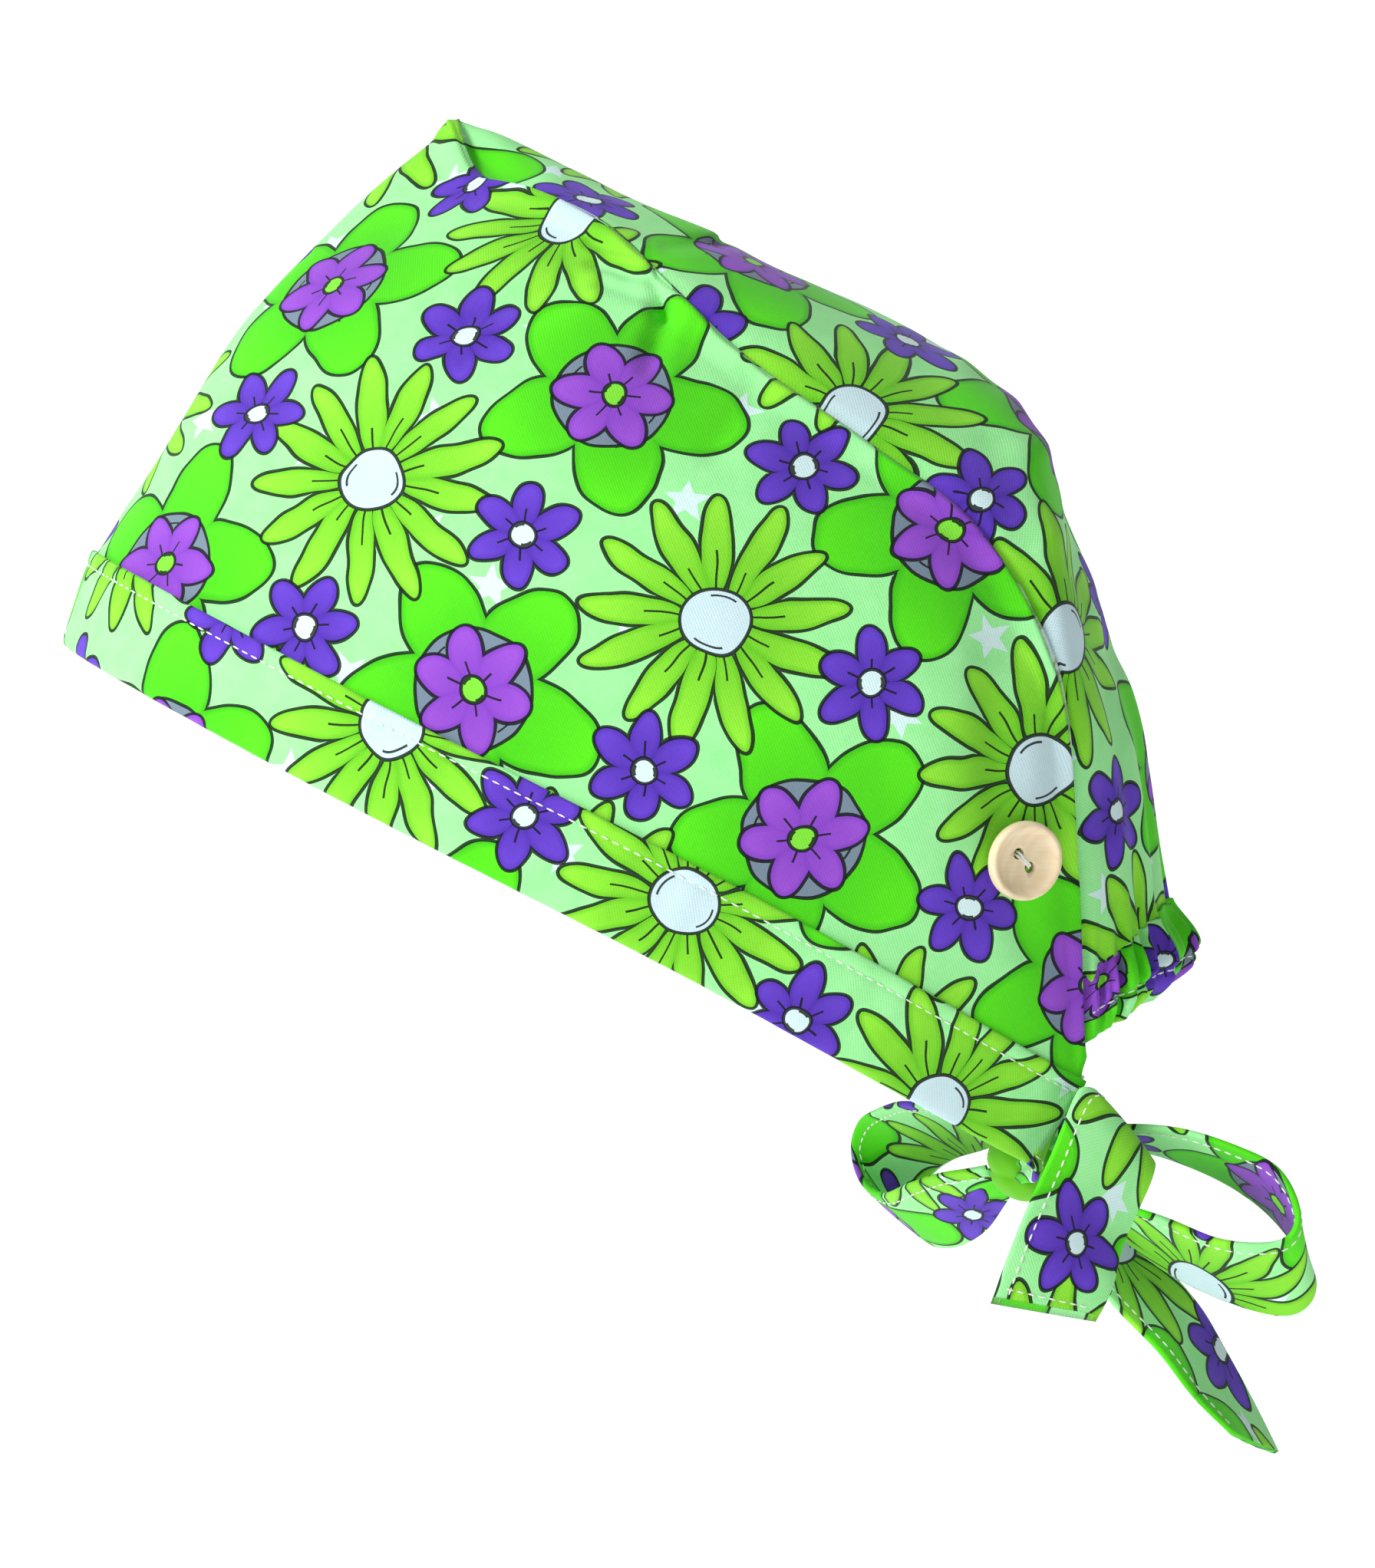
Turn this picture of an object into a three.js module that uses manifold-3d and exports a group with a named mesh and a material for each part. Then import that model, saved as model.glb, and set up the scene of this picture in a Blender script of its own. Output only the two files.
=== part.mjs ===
// A cloth scrub cap as it is worn: a folded cuff, a wrap panel, a crown panel over a back pouch,
// a gathered elastic casing, two buttons, and two ties knotted in a bow at the nape.
// Millimetres, +Z up, forehead towards -Y, origin in the middle of the opening for the head.
import * as THREE from 'three';
import Module from 'manifold-3d';

// Cuff
const CUFF_HALF_WIDTH = 77;
const CUFF_LENGTH = 230;
const CUFF_FRONT = 112;
const CUFF_RISE = 21;
const CUFF_SLOPE = 28;
const CUFF_LIFT = 2.4;
const CUFF_WIDTH = 22;
const CUFF_TURN_IN = 10;
const CUFF_WALL = 2.2;
// Panels
const CROWN_HEIGHT = 184.5;
const CROWN_HALF_WIDTH = 59;
const PANEL_BULGE = 14;
const PANEL_WALL = 1.5;
const FOLD_DEPTH = 3;
// Elastic casing
const CASING_DROP = 20;
const CASING_PUFF = 7;
const CASING_WALL = 1.6;
const GATHER_DEPTH = 2.2;
const GATHERS = 9;
const GATHER_START = 0.72;
// Buttons
const BUTTON_DIAMETER = 18;
const BUTTON_THICKNESS = 4;
const BUTTON_HOLE = 2.6;
const BUTTON_HOLE_SPACING = 4.4;
const BUTTON_TURN = -40;
const BUTTON_AT = { along: 0.85, up: 0.58 };
const THREAD_DIAMETER = 1.5;
// Ties and bow
const TIE_WIDTH = 26;
const TIE_WALL = 1.6;
const KNOT_WIDTH = 18;
const KNOT_HEIGHT = 20;
const KNOT_SIDE = 12;
const KNOT_BACK = 108;
const KNOT_DROP = 61;
const KNOT_TURNS = 3;
const KNOT_RELIEF = 0.07;
const KNOT_TWIST = 0.6;
const LOOP_LENGTH = 60;
const HEMMED_TAIL_LENGTH = 60;
const POINTED_TAIL_LENGTH = 92;
// Clearance between sewn or touching pieces
const GAP = 0.3;

// Divisions of the meshes
const HALF_COLUMNS = 28;
const PANEL_ROWS = 12;
const CROWN_COLUMNS = GATHERS * 4;
const CROWN_ROWS = HALF_COLUMNS - 1;
const CUFF_ROWS = 3;
const CASING_ROWS = 6;
const RIBBON_STEPS = 22;
const TIE_STEPS = 10;
const BUTTON_SIDES = 16;
const HOLE_SIDES = 10;
const THREAD_SIDES = 8;
const KNOT_SIDES = 16;

// Each table runs in equal steps from the middle of the forehead to the end of the cuff.
// side: share of the half width. back: share of CUFF_LENGTH behind the forehead.
const CUFF_SEAM = [
  { side: 0, back: 0 },
  { side: 0.318, back: 0.031 },
  { side: 0.558, back: 0.096 },
  { side: 0.747, back: 0.192 },
  { side: 0.89, back: 0.299 },
  { side: 0.974, back: 0.41 },
  { side: 1, back: 0.529 },
  { side: 0.987, back: 0.644 },
  { side: 0.916, back: 0.766 },
  { side: 0.766, back: 0.888 },
  { side: 0.584, back: 1 },
];
// height: share of CROWN_HEIGHT. The first row is the peaked tip.
const CROWN_SEAM = [
  { side: 0, back: 0.374, height: 1 },
  { side: 0.203, back: 0.4, height: 0.921 },
  { side: 0.407, back: 0.463, height: 0.891 },
  { side: 0.619, back: 0.533, height: 0.84 },
  { side: 0.797, back: 0.596, height: 0.759 },
  { side: 0.89, back: 0.674, height: 0.664 },
  { side: 0.966, back: 0.789, height: 0.561 },
  { side: 1, back: 0.896, height: 0.455 },
  { side: 0.966, back: 0.97, height: 0.282 },
  { side: 0.881, back: 0.99, height: 0.054 },
  { side: 0.771, back: 0.996, height: -0.179 },
];
// The middle of the crown panel, and how its cross-section arches: 1 is round, 4 is a ridge.
const CREST = [
  { back: 0.374, height: 1, arch: 4 },
  { back: 0.431, height: 0.97, arch: 3.6 },
  { back: 0.5, height: 0.93, arch: 2.8 },
  { back: 0.583, height: 0.879, arch: 2 },
  { back: 0.683, height: 0.821, arch: 1.6 },
  { back: 0.783, height: 0.762, arch: 1.4 },
  { back: 0.874, height: 0.699, arch: 1.25 },
  { back: 0.952, height: 0.61, arch: 1.1 },
  { back: 1.02, height: 0.434, arch: 1 },
  { back: 1.085, height: 0.184, arch: 1 },
  { back: 1.104, height: -0.108, arch: 1 },
];
// How the wrap panel stands out from straight lines between its seams, as shares of PANEL_BULGE.
const FULLNESS = [
  { side: 0, back: -0.41, height: 0.34 },
  { side: 0.2, back: -0.9, height: 0.42 },
  { side: 0.64, back: -0.5, height: 0.43 },
  { side: 0.74, back: -0.14, height: 0.28 },
  { side: 0.79, back: 0, height: 0.2 },
  { side: 0.82, back: 0.05, height: 0.14 },
  { side: 0.71, back: 0.21, height: 0 },
  { side: 0.5, back: 0.43, height: 0 },
  { side: 0.32, back: 0.36, height: 0 },
  { side: 0.14, back: 0.21, height: 0 },
  { side: 0, back: 0, height: 0 },
];
// Soft folds on both sides of the cap, between two points seen from the side: back is a share of
// CUFF_LENGTH behind the forehead, height and spread of CROWN_HEIGHT, rise of FOLD_DEPTH.
const FOLDS = [
  { back: 0.51, height: 0.84, toBack: 0.59, toHeight: 0.72, spread: 0.022, rise: -1 },
  { back: 0.45, height: 0.86, toBack: 0.52, toHeight: 0.77, spread: 0.02, rise: -0.5 },
  { back: 0.47, height: 0.9, toBack: 0.56, toHeight: 0.77, spread: 0.016, rise: 0.5 },
  { back: 0.93, height: 0.62, toBack: 0.985, toHeight: 0.28, spread: 0.03, rise: 0.8 },
  { back: 0.9, height: 0.33, toBack: 0.95, toHeight: -0.05, spread: 0.03, rise: -0.5 },
  { back: 1.03, height: 0.3, toBack: 1.04, toHeight: 0.02, spread: 0.03, rise: -0.6 },
];
// The button's section from its back to its dish. radius: share of the button's radius.
// height: share of BUTTON_THICKNESS.
const BUTTON_PROFILE = [
  { radius: 0, height: 0 },
  { radius: 0.8, height: 0 },
  { radius: 1, height: 0.35 },
  { radius: 1, height: 0.7 },
  { radius: 0.93, height: 1 },
  { radius: 0.78, height: 1 },
  { radius: 0.66, height: 0.72 },
  { radius: 0, height: 0.62 },
];
// The last stretch of a tie's route. x, y and z: shares of TIE_WIDTH from the knot's middle,
// x for the left tie. The right tie's x, and both ties' y at the seat, are the other way round.
const TIE_SEAT = { x: 0.208, y: -0.097, z: 0 };
const TIE_APPROACH = { x: 0.6, y: 0.08, z: 0.15 };
const TIE_RUN_OUT = 0.12;
const TIE_END_WIDTH = 0.45;
// Routes of the straps. x, y and z: shares of the strap's length from the knot's middle.
// lean and swing: how far the strap's width leans over the level, and swings from +X to +Y.
// width: share of TIE_WIDTH.
const LOOP_LEFT = [
  { x: 0.02, y: 0.12, z: 0.06, lean: 8, swing: 0, width: 0.42 },
  { x: 0.1, y: 0.28, z: 0.09, lean: 14, swing: 0, width: 0.85 },
  { x: 0.17, y: 0.53, z: 0.07, lean: 18, swing: 0, width: 1 },
  { x: 0.23, y: 0.78, z: -0.02, lean: 25, swing: -5, width: 1 },
  { x: 0.28, y: 0.95, z: -0.14, lean: 36, swing: -10, width: 1 },
  { x: 0.3, y: 1.04, z: -0.32, lean: 46, swing: -20, width: 1 },
  { x: 0.27, y: 0.97, z: -0.43, lean: 47, swing: -14, width: 1 },
  { x: 0.22, y: 0.73, z: -0.4, lean: 36, swing: -4, width: 1 },
  { x: 0.13, y: 0.47, z: -0.28, lean: 28, swing: 0, width: 0.95 },
  { x: 0.04, y: 0.12, z: -0.08, lean: 10, swing: 0, width: 0.42 },
];
const LOOP_RIGHT = [
  { x: -0.09, y: -0.09, z: 0.07, lean: 20, swing: -58, width: 0.42 },
  { x: -0.27, y: -0.2, z: 0.11, lean: 25, swing: -58, width: 0.8 },
  { x: -0.48, y: -0.3, z: 0.1, lean: 28, swing: -58, width: 1 },
  { x: -0.7, y: -0.4, z: 0.05, lean: 30, swing: -58, width: 1 },
  { x: -0.87, y: -0.48, z: -0.03, lean: 34, swing: -58, width: 1 },
  { x: -0.95, y: -0.52, z: -0.17, lean: 40, swing: -58, width: 1 },
  { x: -0.87, y: -0.48, z: -0.29, lean: 38, swing: -58, width: 1 },
  { x: -0.68, y: -0.39, z: -0.31, lean: 32, swing: -58, width: 1 },
  { x: -0.47, y: -0.29, z: -0.24, lean: 28, swing: -58, width: 1 },
  { x: -0.27, y: -0.2, z: -0.15, lean: 22, swing: -58, width: 0.8 },
  { x: -0.1, y: -0.09, z: -0.07, lean: 15, swing: -58, width: 0.42 },
];
const TAIL_HEMMED = [
  { x: 0.1, y: 0.08, z: 0.05, lean: -80, swing: 90, width: 0.45 },
  { x: 0.27, y: 0.23, z: 0.1, lean: -60, swing: 115, width: 0.8 },
  { x: 0.467, y: 0.333, z: 0.158, lean: -41, swing: 135, width: 1 },
  { x: 0.575, y: 0.297, z: 0.137, lean: -42, swing: 129, width: 1.2 },
  { x: 0.567, y: 0.188, z: -0.117, lean: -42, swing: 123, width: 1.12 },
  { x: 0.622, y: 0.1, z: -0.333, lean: -27, swing: 110, width: 1.04 },
  { x: 0.638, y: 0.03, z: -0.503, lean: -11, swing: 106, width: 1 },
];
const TAIL_POINTED = [
  { x: 0, y: 0.04, z: -0.07, lean: 0, swing: 0, width: 0.4 },
  { x: -0.054, y: 0.141, z: -0.196, lean: -14, swing: -18, width: 0.85 },
  { x: -0.109, y: 0.275, z: -0.322, lean: -20, swing: -27, width: 1 },
  { x: -0.109, y: 0.391, z: -0.443, lean: -20, swing: -27, width: 1 },
  { x: -0.114, y: 0.473, z: -0.565, lean: -13, swing: -27, width: 0.98 },
  { x: -0.103, y: 0.587, z: -0.739, lean: 18, swing: -35, width: 0.94 },
];

const radians = THREE.MathUtils.degToRad;
const lerp = THREE.MathUtils.lerp;
const vector = (x, y, z) => new THREE.Vector3(x, y, z);
const INSIDE = vector(0, 0, CROWN_HEIGHT / 3);
const KNOT = vector(KNOT_SIDE, KNOT_BACK, -KNOT_DROP);
// The share of the crown seam where the crown panel ends and the casing begins
const CROWN_END = CROWN_ROWS / HALF_COLUMNS;

// A smooth curve through one column of a table, at a share t of the way along it.
// A mirrored table goes on past its first row as its own mirror image.
function smooth(table, column, t, mirrored = false) {
  const last = table.length - 1;
  const span = Math.min(Math.floor(t * last), last - 1);
  const part = t * last - span;
  const at = (row) => {
    if (row > last) return 2 * table[last][column] - table[last - 1][column];
    if (row >= 0) return table[row][column];
    if (!mirrored) return 2 * table[0][column] - table[1][column];
    return column === 'side' ? -table[1][column] : table[1][column];
  };
  const [a, b, c, d] = [at(span - 1), at(span), at(span + 1), at(span + 2)];
  const bend = (2 * a - 5 * b + 4 * c - d) * part ** 2 + (3 * b - a - 3 * c + d) * part ** 3;
  return b + 0.5 * ((c - a) * part + bend);
}

// The cuff's seam, from the right end (u = -1) past the forehead to the left end (u = 1)
function cuffSeam(u) {
  const y = CUFF_LENGTH * smooth(CUFF_SEAM, 'back', Math.abs(u), true) - CUFF_FRONT;
  const lift = CUFF_LIFT * Math.sin(Math.PI * u * u) ** 2;
  return vector(
    Math.sign(u) * CUFF_HALF_WIDTH * smooth(CUFF_SEAM, 'side', Math.abs(u), true),
    y,
    CUFF_RISE - Math.tan(radians(CUFF_SLOPE)) * y + lift,
  );
}

// The seam between the wrap panel and the crown panel, over the same range
function crownSeam(u) {
  const t = Math.abs(u);
  return vector(
    Math.sign(u) * CROWN_HALF_WIDTH * smooth(CROWN_SEAM, 'side', t, true),
    CUFF_LENGTH * smooth(CROWN_SEAM, 'back', t, true) - CUFF_FRONT,
    CROWN_HEIGHT * smooth(CROWN_SEAM, 'height', t, true),
  );
}

// The middle line of the crown panel
function crest(t) {
  return vector(
    0,
    CUFF_LENGTH * smooth(CREST, 'back', t) - CUFF_FRONT,
    CROWN_HEIGHT * smooth(CREST, 'height', t),
  );
}

// How far the folds lift the cloth at a point, in millimetres
function foldRise(point) {
  let rise = 0;
  for (const fold of FOLDS) {
    const from = new THREE.Vector2(fold.back * CUFF_LENGTH - CUFF_FRONT, fold.height * CROWN_HEIGHT);
    const to = new THREE.Vector2(fold.toBack * CUFF_LENGTH - CUFF_FRONT, fold.toHeight * CROWN_HEIGHT);
    const along = to.clone().sub(from);
    const offset = new THREE.Vector2(point.y, point.z).sub(from);
    const share = THREE.MathUtils.clamp(offset.dot(along) / along.lengthSq(), 0, 1);
    const distance = offset.sub(along.multiplyScalar(share)).length() / (fold.spread * CROWN_HEIGHT);
    rise += FOLD_DEPTH * fold.rise * Math.exp(-(distance ** 2));
  }
  return rise;
}

// The wrap panel, from the cuff (v = 0) to the crown seam (v = 1)
function wrapPoint(u, v) {
  const full = PANEL_BULGE * Math.max(0, Math.sin(Math.PI * v ** 1.25));
  const t = Math.abs(u);
  const bulge = vector(
    Math.sign(u) * smooth(FULLNESS, 'side', t, true),
    smooth(FULLNESS, 'back', t, true),
    smooth(FULLNESS, 'height', t, true),
  );
  const point = cuffSeam(u).lerp(crownSeam(u), v).addScaledVector(bulge, full);
  const calm = Math.sin(Math.PI * v);
  const outward = bulge.lengthSq() > 0 ? bulge.normalize() : vector(0, 0, 0);
  return point.addScaledVector(outward, calm * foldRise(point));
}

// A cross-section from the right side over the middle to the left side, for angles -90 to 90.
// A round arch is spaced by its angle, a flatter or ridged one evenly across.
function archPoint(side, middle, angle, arch) {
  const round = THREE.MathUtils.clamp(2 - arch, 0, 1);
  const across = lerp(angle / (Math.PI / 2), Math.sin(angle), round);
  const reach = Math.max(0, 1 - across ** 2) ** (arch / 2);
  return vector(side.x * across, side.y, side.z)
    .addScaledVector(vector(0, middle.y - side.y, middle.z - side.z), reach);
}

// The crown panel, from the tip (t = 0) to the casing, at an angle across the cap
function crownPoint(t, angle) {
  const middle = crest(t);
  const point = archPoint(crownSeam(t), middle, angle, smooth(CREST, 'arch', t));
  const calm = Math.cos(angle);
  const nearCasing = Math.max(0, (t - GATHER_START) / (1 - GATHER_START));
  const gather = GATHER_DEPTH * nearCasing ** 2 * gatherWave(angle);
  const outward = vector(Math.sin(angle), Math.cos(angle), 0.2);
  return point.addScaledVector(outward, calm * (gather + foldRise(point)));
}

function gatherWave(angle) {
  return Math.cos(2 * GATHERS * angle);
}

// The elastic casing, from the crown panel (v = 0) to its turned-under hem (v = 1)
function casingPoint(angle, v) {
  const top = crownPoint(CROWN_END, angle);
  const end = crownSeam(1);
  const hemMiddle = crest(1).add(vector(0, -CASING_PUFF / 2, 0));
  hemMiddle.z = crest(CROWN_END).z - CASING_DROP;
  const hem = archPoint(end, hemMiddle, angle, 1);
  const calm = Math.cos(angle);
  const puff = CASING_PUFF * Math.sin(Math.PI * v ** 1.3) + GATHER_DEPTH * v * gatherWave(angle);
  return top.lerp(hem, v).addScaledVector(vector(Math.sin(angle), Math.cos(angle), 0), calm * puff);
}

// The cuff, from its seam (v = 0) to its fold (v = 1)
function cuffPoint(u, v) {
  const step = 0.01;
  const ahead = cuffSeam(Math.min(1, u + step)).sub(cuffSeam(Math.max(-1, u - step))).normalize();
  const down = vector(0, -Math.sin(radians(CUFF_SLOPE)), -Math.cos(radians(CUFF_SLOPE)));
  const outward = down.clone().cross(ahead).normalize();
  return cuffSeam(u)
    .addScaledVector(down, v * CUFF_WIDTH * Math.cos(radians(CUFF_TURN_IN)))
    .addScaledVector(outward, -v * CUFF_WIDTH * Math.sin(radians(CUFF_TURN_IN)));
}

// A sheet of cloth as a grid of points with a normal at each
function makeSheet(rows, columns, place, inside = INSIDE) {
  const points = [];
  for (let i = 0; i <= rows; i += 1) {
    const row = [];
    for (let j = 0; j <= columns; j += 1) row.push(place(i / rows, j / columns));
    points.push(row);
  }
  const normals = points.map((row) => row.map(() => vector(0, 0, 0)));
  for (let i = 0; i < rows; i += 1) {
    for (let j = 0; j < columns; j += 1) {
      const acrossOne = points[i + 1][j + 1].clone().sub(points[i][j]);
      const acrossTwo = points[i][j + 1].clone().sub(points[i + 1][j]);
      const face = acrossOne.cross(acrossTwo);
      for (const [a, b] of [[i, j], [i + 1, j], [i, j + 1], [i + 1, j + 1]]) normals[a][b].add(face);
    }
  }
  let outward = 0;
  points.forEach((row, i) => row.forEach((point, j) => {
    outward += normals[i][j].dot(point.clone().sub(inside));
  }));
  normals.flat().forEach((normal) => normal.multiplyScalar(Math.sign(outward)).normalize());
  return { points, normals };
}

// Sheets that meet at a seam share one normal there, so that their walls meet face to face
function joinNormals(sheets) {
  const places = new Map();
  for (const { points, normals } of sheets) {
    points.forEach((row, i) => row.forEach((point, j) => {
      const key = point.toArray().map((value) => Math.round(value * 1000)).join();
      if (!places.has(key)) places.set(key, []);
      places.get(key).push(normals[i][j]);
    }));
  }
  for (const meeting of places.values()) {
    const shared = meeting.reduce((sum, normal) => sum.add(normal), vector(0, 0, 0)).normalize();
    meeting.forEach((normal) => normal.copy(shared));
  }
}

// Near its side seams the crown panel's normals turn gradually to the shared ones
function easeSides({ points, normals }, reach) {
  const last = CROWN_COLUMNS;
  points.forEach((row, i) => {
    for (let j = 1; j < last; j += 1) {
      const nearest = Math.min(row[j].distanceTo(row[0]), row[j].distanceTo(row[last]));
      const shared = normals[i][0].clone().lerp(normals[i][last], j / last);
      const own = THREE.MathUtils.smoothstep(nearest, 0, reach);
      normals[i][j].copy(shared.normalize().lerp(normals[i][j], own).normalize());
    }
  });
}

// The casing's short ends lie along one straight stretch of the wrap panel's edge
function easeEnds({ normals }) {
  for (const column of [0, CROWN_COLUMNS]) {
    for (let i = 1; i < CASING_ROWS; i += 1) {
      const first = normals[0][column].clone();
      normals[i][column].copy(first.lerp(normals[CASING_ROWS][column], i / CASING_ROWS).normalize());
    }
  }
}

// Moves the edges of a grid of points inwards by a distance
function drawBack(points, distance) {
  const rows = points.length - 1;
  const columns = points[0].length - 1;
  const moves = [];
  const add = (edge, inner) => moves.push([edge, inner.clone().sub(edge).setLength(distance)]);
  for (let j = 0; j <= columns; j += 1) {
    const pointed = points[0][0].distanceTo(points[0][columns]) < distance;
    const towards = pointed ? points[1][columns / 2] : points[1][j];
    add(points[0][j], towards);
    add(points[rows][j], points[rows - 1][j]);
  }
  for (let i = 0; i <= rows; i += 1) {
    if (points[i][0].distanceTo(points[i][columns]) < distance) continue;
    add(points[i][0], points[i][1]);
    add(points[i][columns], points[i][columns - 1]);
  }
  moves.forEach(([edge, move]) => edge.add(move));
}

// The closed wall of a sheet: a face outside, a face inside and its rim
function makeWall({ points, normals }, outside, inside, clearance = GAP / 2) {
  const offset = (amount) => points.map((row, i) => row.map(
    (point, j) => point.clone().addScaledVector(normals[i][j], amount),
  ));
  const faces = [offset(outside), offset(-inside)];
  if (clearance > 0) faces.forEach((face) => drawBack(face, clearance));
  const numbers = new Map();
  const positions = [];
  const numberOf = (point) => {
    const key = point.toArray().map((value) => Math.round(value * 1e4)).join();
    if (!numbers.has(key)) {
      numbers.set(key, positions.length / 3);
      positions.push(point.x, point.y, point.z);
    }
    return numbers.get(key);
  };
  const indices = [];
  const addTriangle = (a, b, c) => {
    const [i, j, k] = [numberOf(a), numberOf(b), numberOf(c)];
    if (i !== j && j !== k && k !== i) indices.push(i, j, k);
  };
  const addQuad = (a, b, c, d) => {
    addTriangle(a, b, c);
    addTriangle(a, c, d);
  };
  const rows = points.length - 1;
  const columns = points[0].length - 1;
  const [outer, inner] = faces;
  for (let i = 0; i < rows; i += 1) {
    for (let j = 0; j < columns; j += 1) {
      addQuad(outer[i][j], outer[i + 1][j], outer[i + 1][j + 1], outer[i][j + 1]);
      addQuad(inner[i][j], inner[i][j + 1], inner[i + 1][j + 1], inner[i + 1][j]);
    }
    addQuad(outer[i][0], inner[i][0], inner[i + 1][0], outer[i + 1][0]);
    addQuad(outer[i][columns], outer[i + 1][columns], inner[i + 1][columns], inner[i][columns]);
  }
  for (let j = 0; j < columns; j += 1) {
    addQuad(outer[0][j], outer[0][j + 1], inner[0][j + 1], inner[0][j]);
    addQuad(outer[rows][j], inner[rows][j], inner[rows][j + 1], outer[rows][j + 1]);
  }
  const geometry = new THREE.BufferGeometry();
  geometry.setAttribute('position', new THREE.Float32BufferAttribute(positions, 3));
  geometry.setIndex(indices);
  return faceOut(geometry);
}

// Turns a closed geometry's faces so that they point out
function faceOut(geometry) {
  const position = geometry.attributes.position;
  const index = geometry.index;
  const corner = (i) => vector().fromBufferAttribute(position, index.getX(i));
  let volume = 0;
  for (let i = 0; i < index.count; i += 3) volume += corner(i).dot(corner(i + 1).cross(corner(i + 2)));
  if (volume < 0) {
    for (let i = 0; i < index.count; i += 3) {
      const swapped = index.getX(i);
      index.setX(i, index.getX(i + 1));
      index.setX(i + 1, swapped);
    }
  }
  return geometry;
}

const wasm = await Module();
wasm.setup();

function toSolid(geometry) {
  return new wasm.Manifold(new wasm.Mesh({
    numProp: 3,
    vertProperties: new Float32Array(geometry.attributes.position.array),
    triVerts: new Uint32Array(geometry.index.array),
  }));
}

function toGeometry(solid) {
  const mesh = solid.getMesh();
  const geometry = new THREE.BufferGeometry();
  geometry.setAttribute('position', new THREE.BufferAttribute(mesh.vertProperties, 3));
  geometry.setIndex(new THREE.BufferAttribute(mesh.triVerts, 1));
  return geometry;
}

// A strap along a route: its middle line, and its width leaning and swinging as the table says
function strapSheet(table, length) {
  return makeSheet(RIBBON_STEPS, 2, (t, across) => {
    const read = (column) => smooth(table, column, t);
    const lean = radians(read('lean'));
    const swing = radians(read('swing'));
    const wide = vector(Math.cos(lean) * Math.cos(swing), Math.cos(lean) * Math.sin(swing), Math.sin(lean));
    return vector(read('x'), read('y'), read('z')).multiplyScalar(length).add(KNOT)
      .addScaledVector(wide, (across - 0.5) * TIE_WIDTH * read('width'));
  }, KNOT);
}

// A tie from the cuff's end to the knot, side 1 at the left and -1 at the right
function tieSheet(side) {
  const top = cuffPoint(side, 0);
  const bottom = cuffPoint(side, 1);
  const before = cuffPoint(side * (1 - 1 / HALF_COLUMNS), 0);
  const onward = top.clone().sub(before).normalize();
  const start = top.clone().lerp(bottom, 0.5).addScaledVector(onward, 1.5 * GAP);
  const seatStep = vector(side * TIE_SEAT.x, side * TIE_SEAT.y, TIE_SEAT.z);
  const approach = vector(side * TIE_APPROACH.x, TIE_APPROACH.y, TIE_APPROACH.z);
  const seat = KNOT.clone().addScaledVector(seatStep, TIE_WIDTH);
  const route = new THREE.CubicBezierCurve3(
    start,
    start.clone().addScaledVector(onward, TIE_RUN_OUT * TIE_WIDTH),
    seat.clone().addScaledVector(approach, TIE_WIDTH),
    seat,
  );
  const cuffWide = bottom.clone().sub(top).normalize();
  return makeSheet(TIE_STEPS, 2, (t, across) => {
    const wide = cuffWide.clone().lerp(vector(0, 0, -1), t).normalize();
    const narrowing = THREE.MathUtils.smoothstep(t, 0.3, 1);
    const width = lerp(CUFF_WIDTH, TIE_WIDTH * TIE_END_WIDTH, narrowing);
    return route.getPoint(t).addScaledVector(wide, (across - 0.5) * width);
  }, KNOT);
}

// The same geometry with the points that coincide made one, so that it is a closed body
function closeUp(geometry) {
  const position = geometry.attributes.position;
  const numbers = new Map();
  const merged = [];
  const renumber = [];
  for (let i = 0; i < position.count; i += 1) {
    const point = vector().fromBufferAttribute(position, i);
    const key = point.toArray().map((value) => Math.round(value * 1000)).join();
    if (!numbers.has(key)) {
      numbers.set(key, merged.length / 3);
      merged.push(point.x, point.y, point.z);
    }
    renumber.push(numbers.get(key));
  }
  const indices = [];
  for (let i = 0; i < geometry.index.count; i += 3) {
    const [a, b, c] = [0, 1, 2].map((k) => renumber[geometry.index.getX(i + k)]);
    if (a !== b && b !== c && c !== a) indices.push(a, b, c);
  }
  const closed = new THREE.BufferGeometry();
  closed.setAttribute('position', new THREE.Float32BufferAttribute(merged, 3));
  closed.setIndex(indices);
  return faceOut(closed);
}

// The knot: a rounded block with the turns of the strap wound round it
function knotGeometry(extra = 0) {
  const geometry = new THREE.SphereGeometry(1, KNOT_SIDES, 10);
  const position = geometry.attributes.position;
  for (let i = 0; i < position.count; i += 1) {
    const ray = vector().fromBufferAttribute(position, i);
    const relief = KNOT_RELIEF * Math.cos(KNOT_TURNS * Math.PI * ray.z + KNOT_TWIST * ray.x);
    const radius = KNOT_WIDTH / 2 * (1 + relief) + extra;
    position.setXYZ(
      i,
      KNOT.x + ray.x * radius,
      KNOT.y + ray.y * radius,
      KNOT.z + ray.z * (KNOT_HEIGHT / 2 + extra),
    );
  }
  return closeUp(geometry);
}

// A strap's wall, cut back to lie just clear of the knot
function strapGeometry(sheet) {
  const wall = toSolid(makeWall(sheet, TIE_WALL / 2, TIE_WALL / 2, 0));
  const cut = wall.subtract(toSolid(knotGeometry(GAP)));
  const pieces = cut.decompose().sort((a, b) => b.volume() - a.volume());
  return toGeometry(pieces[0]);
}

// A round profile of [radius, height] pairs turned about Y, closed on the axis
function turned(profile, sides) {
  const outline = profile.map(([radius, height]) => new THREE.Vector2(radius, height));
  return toSolid(closeUp(new THREE.LatheGeometry(outline, sides)));
}

// A round rod along Y
function rod(radius, from, to, sides) {
  return turned([[0, from], [radius, from], [radius, to], [0, to]], sides);
}

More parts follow.
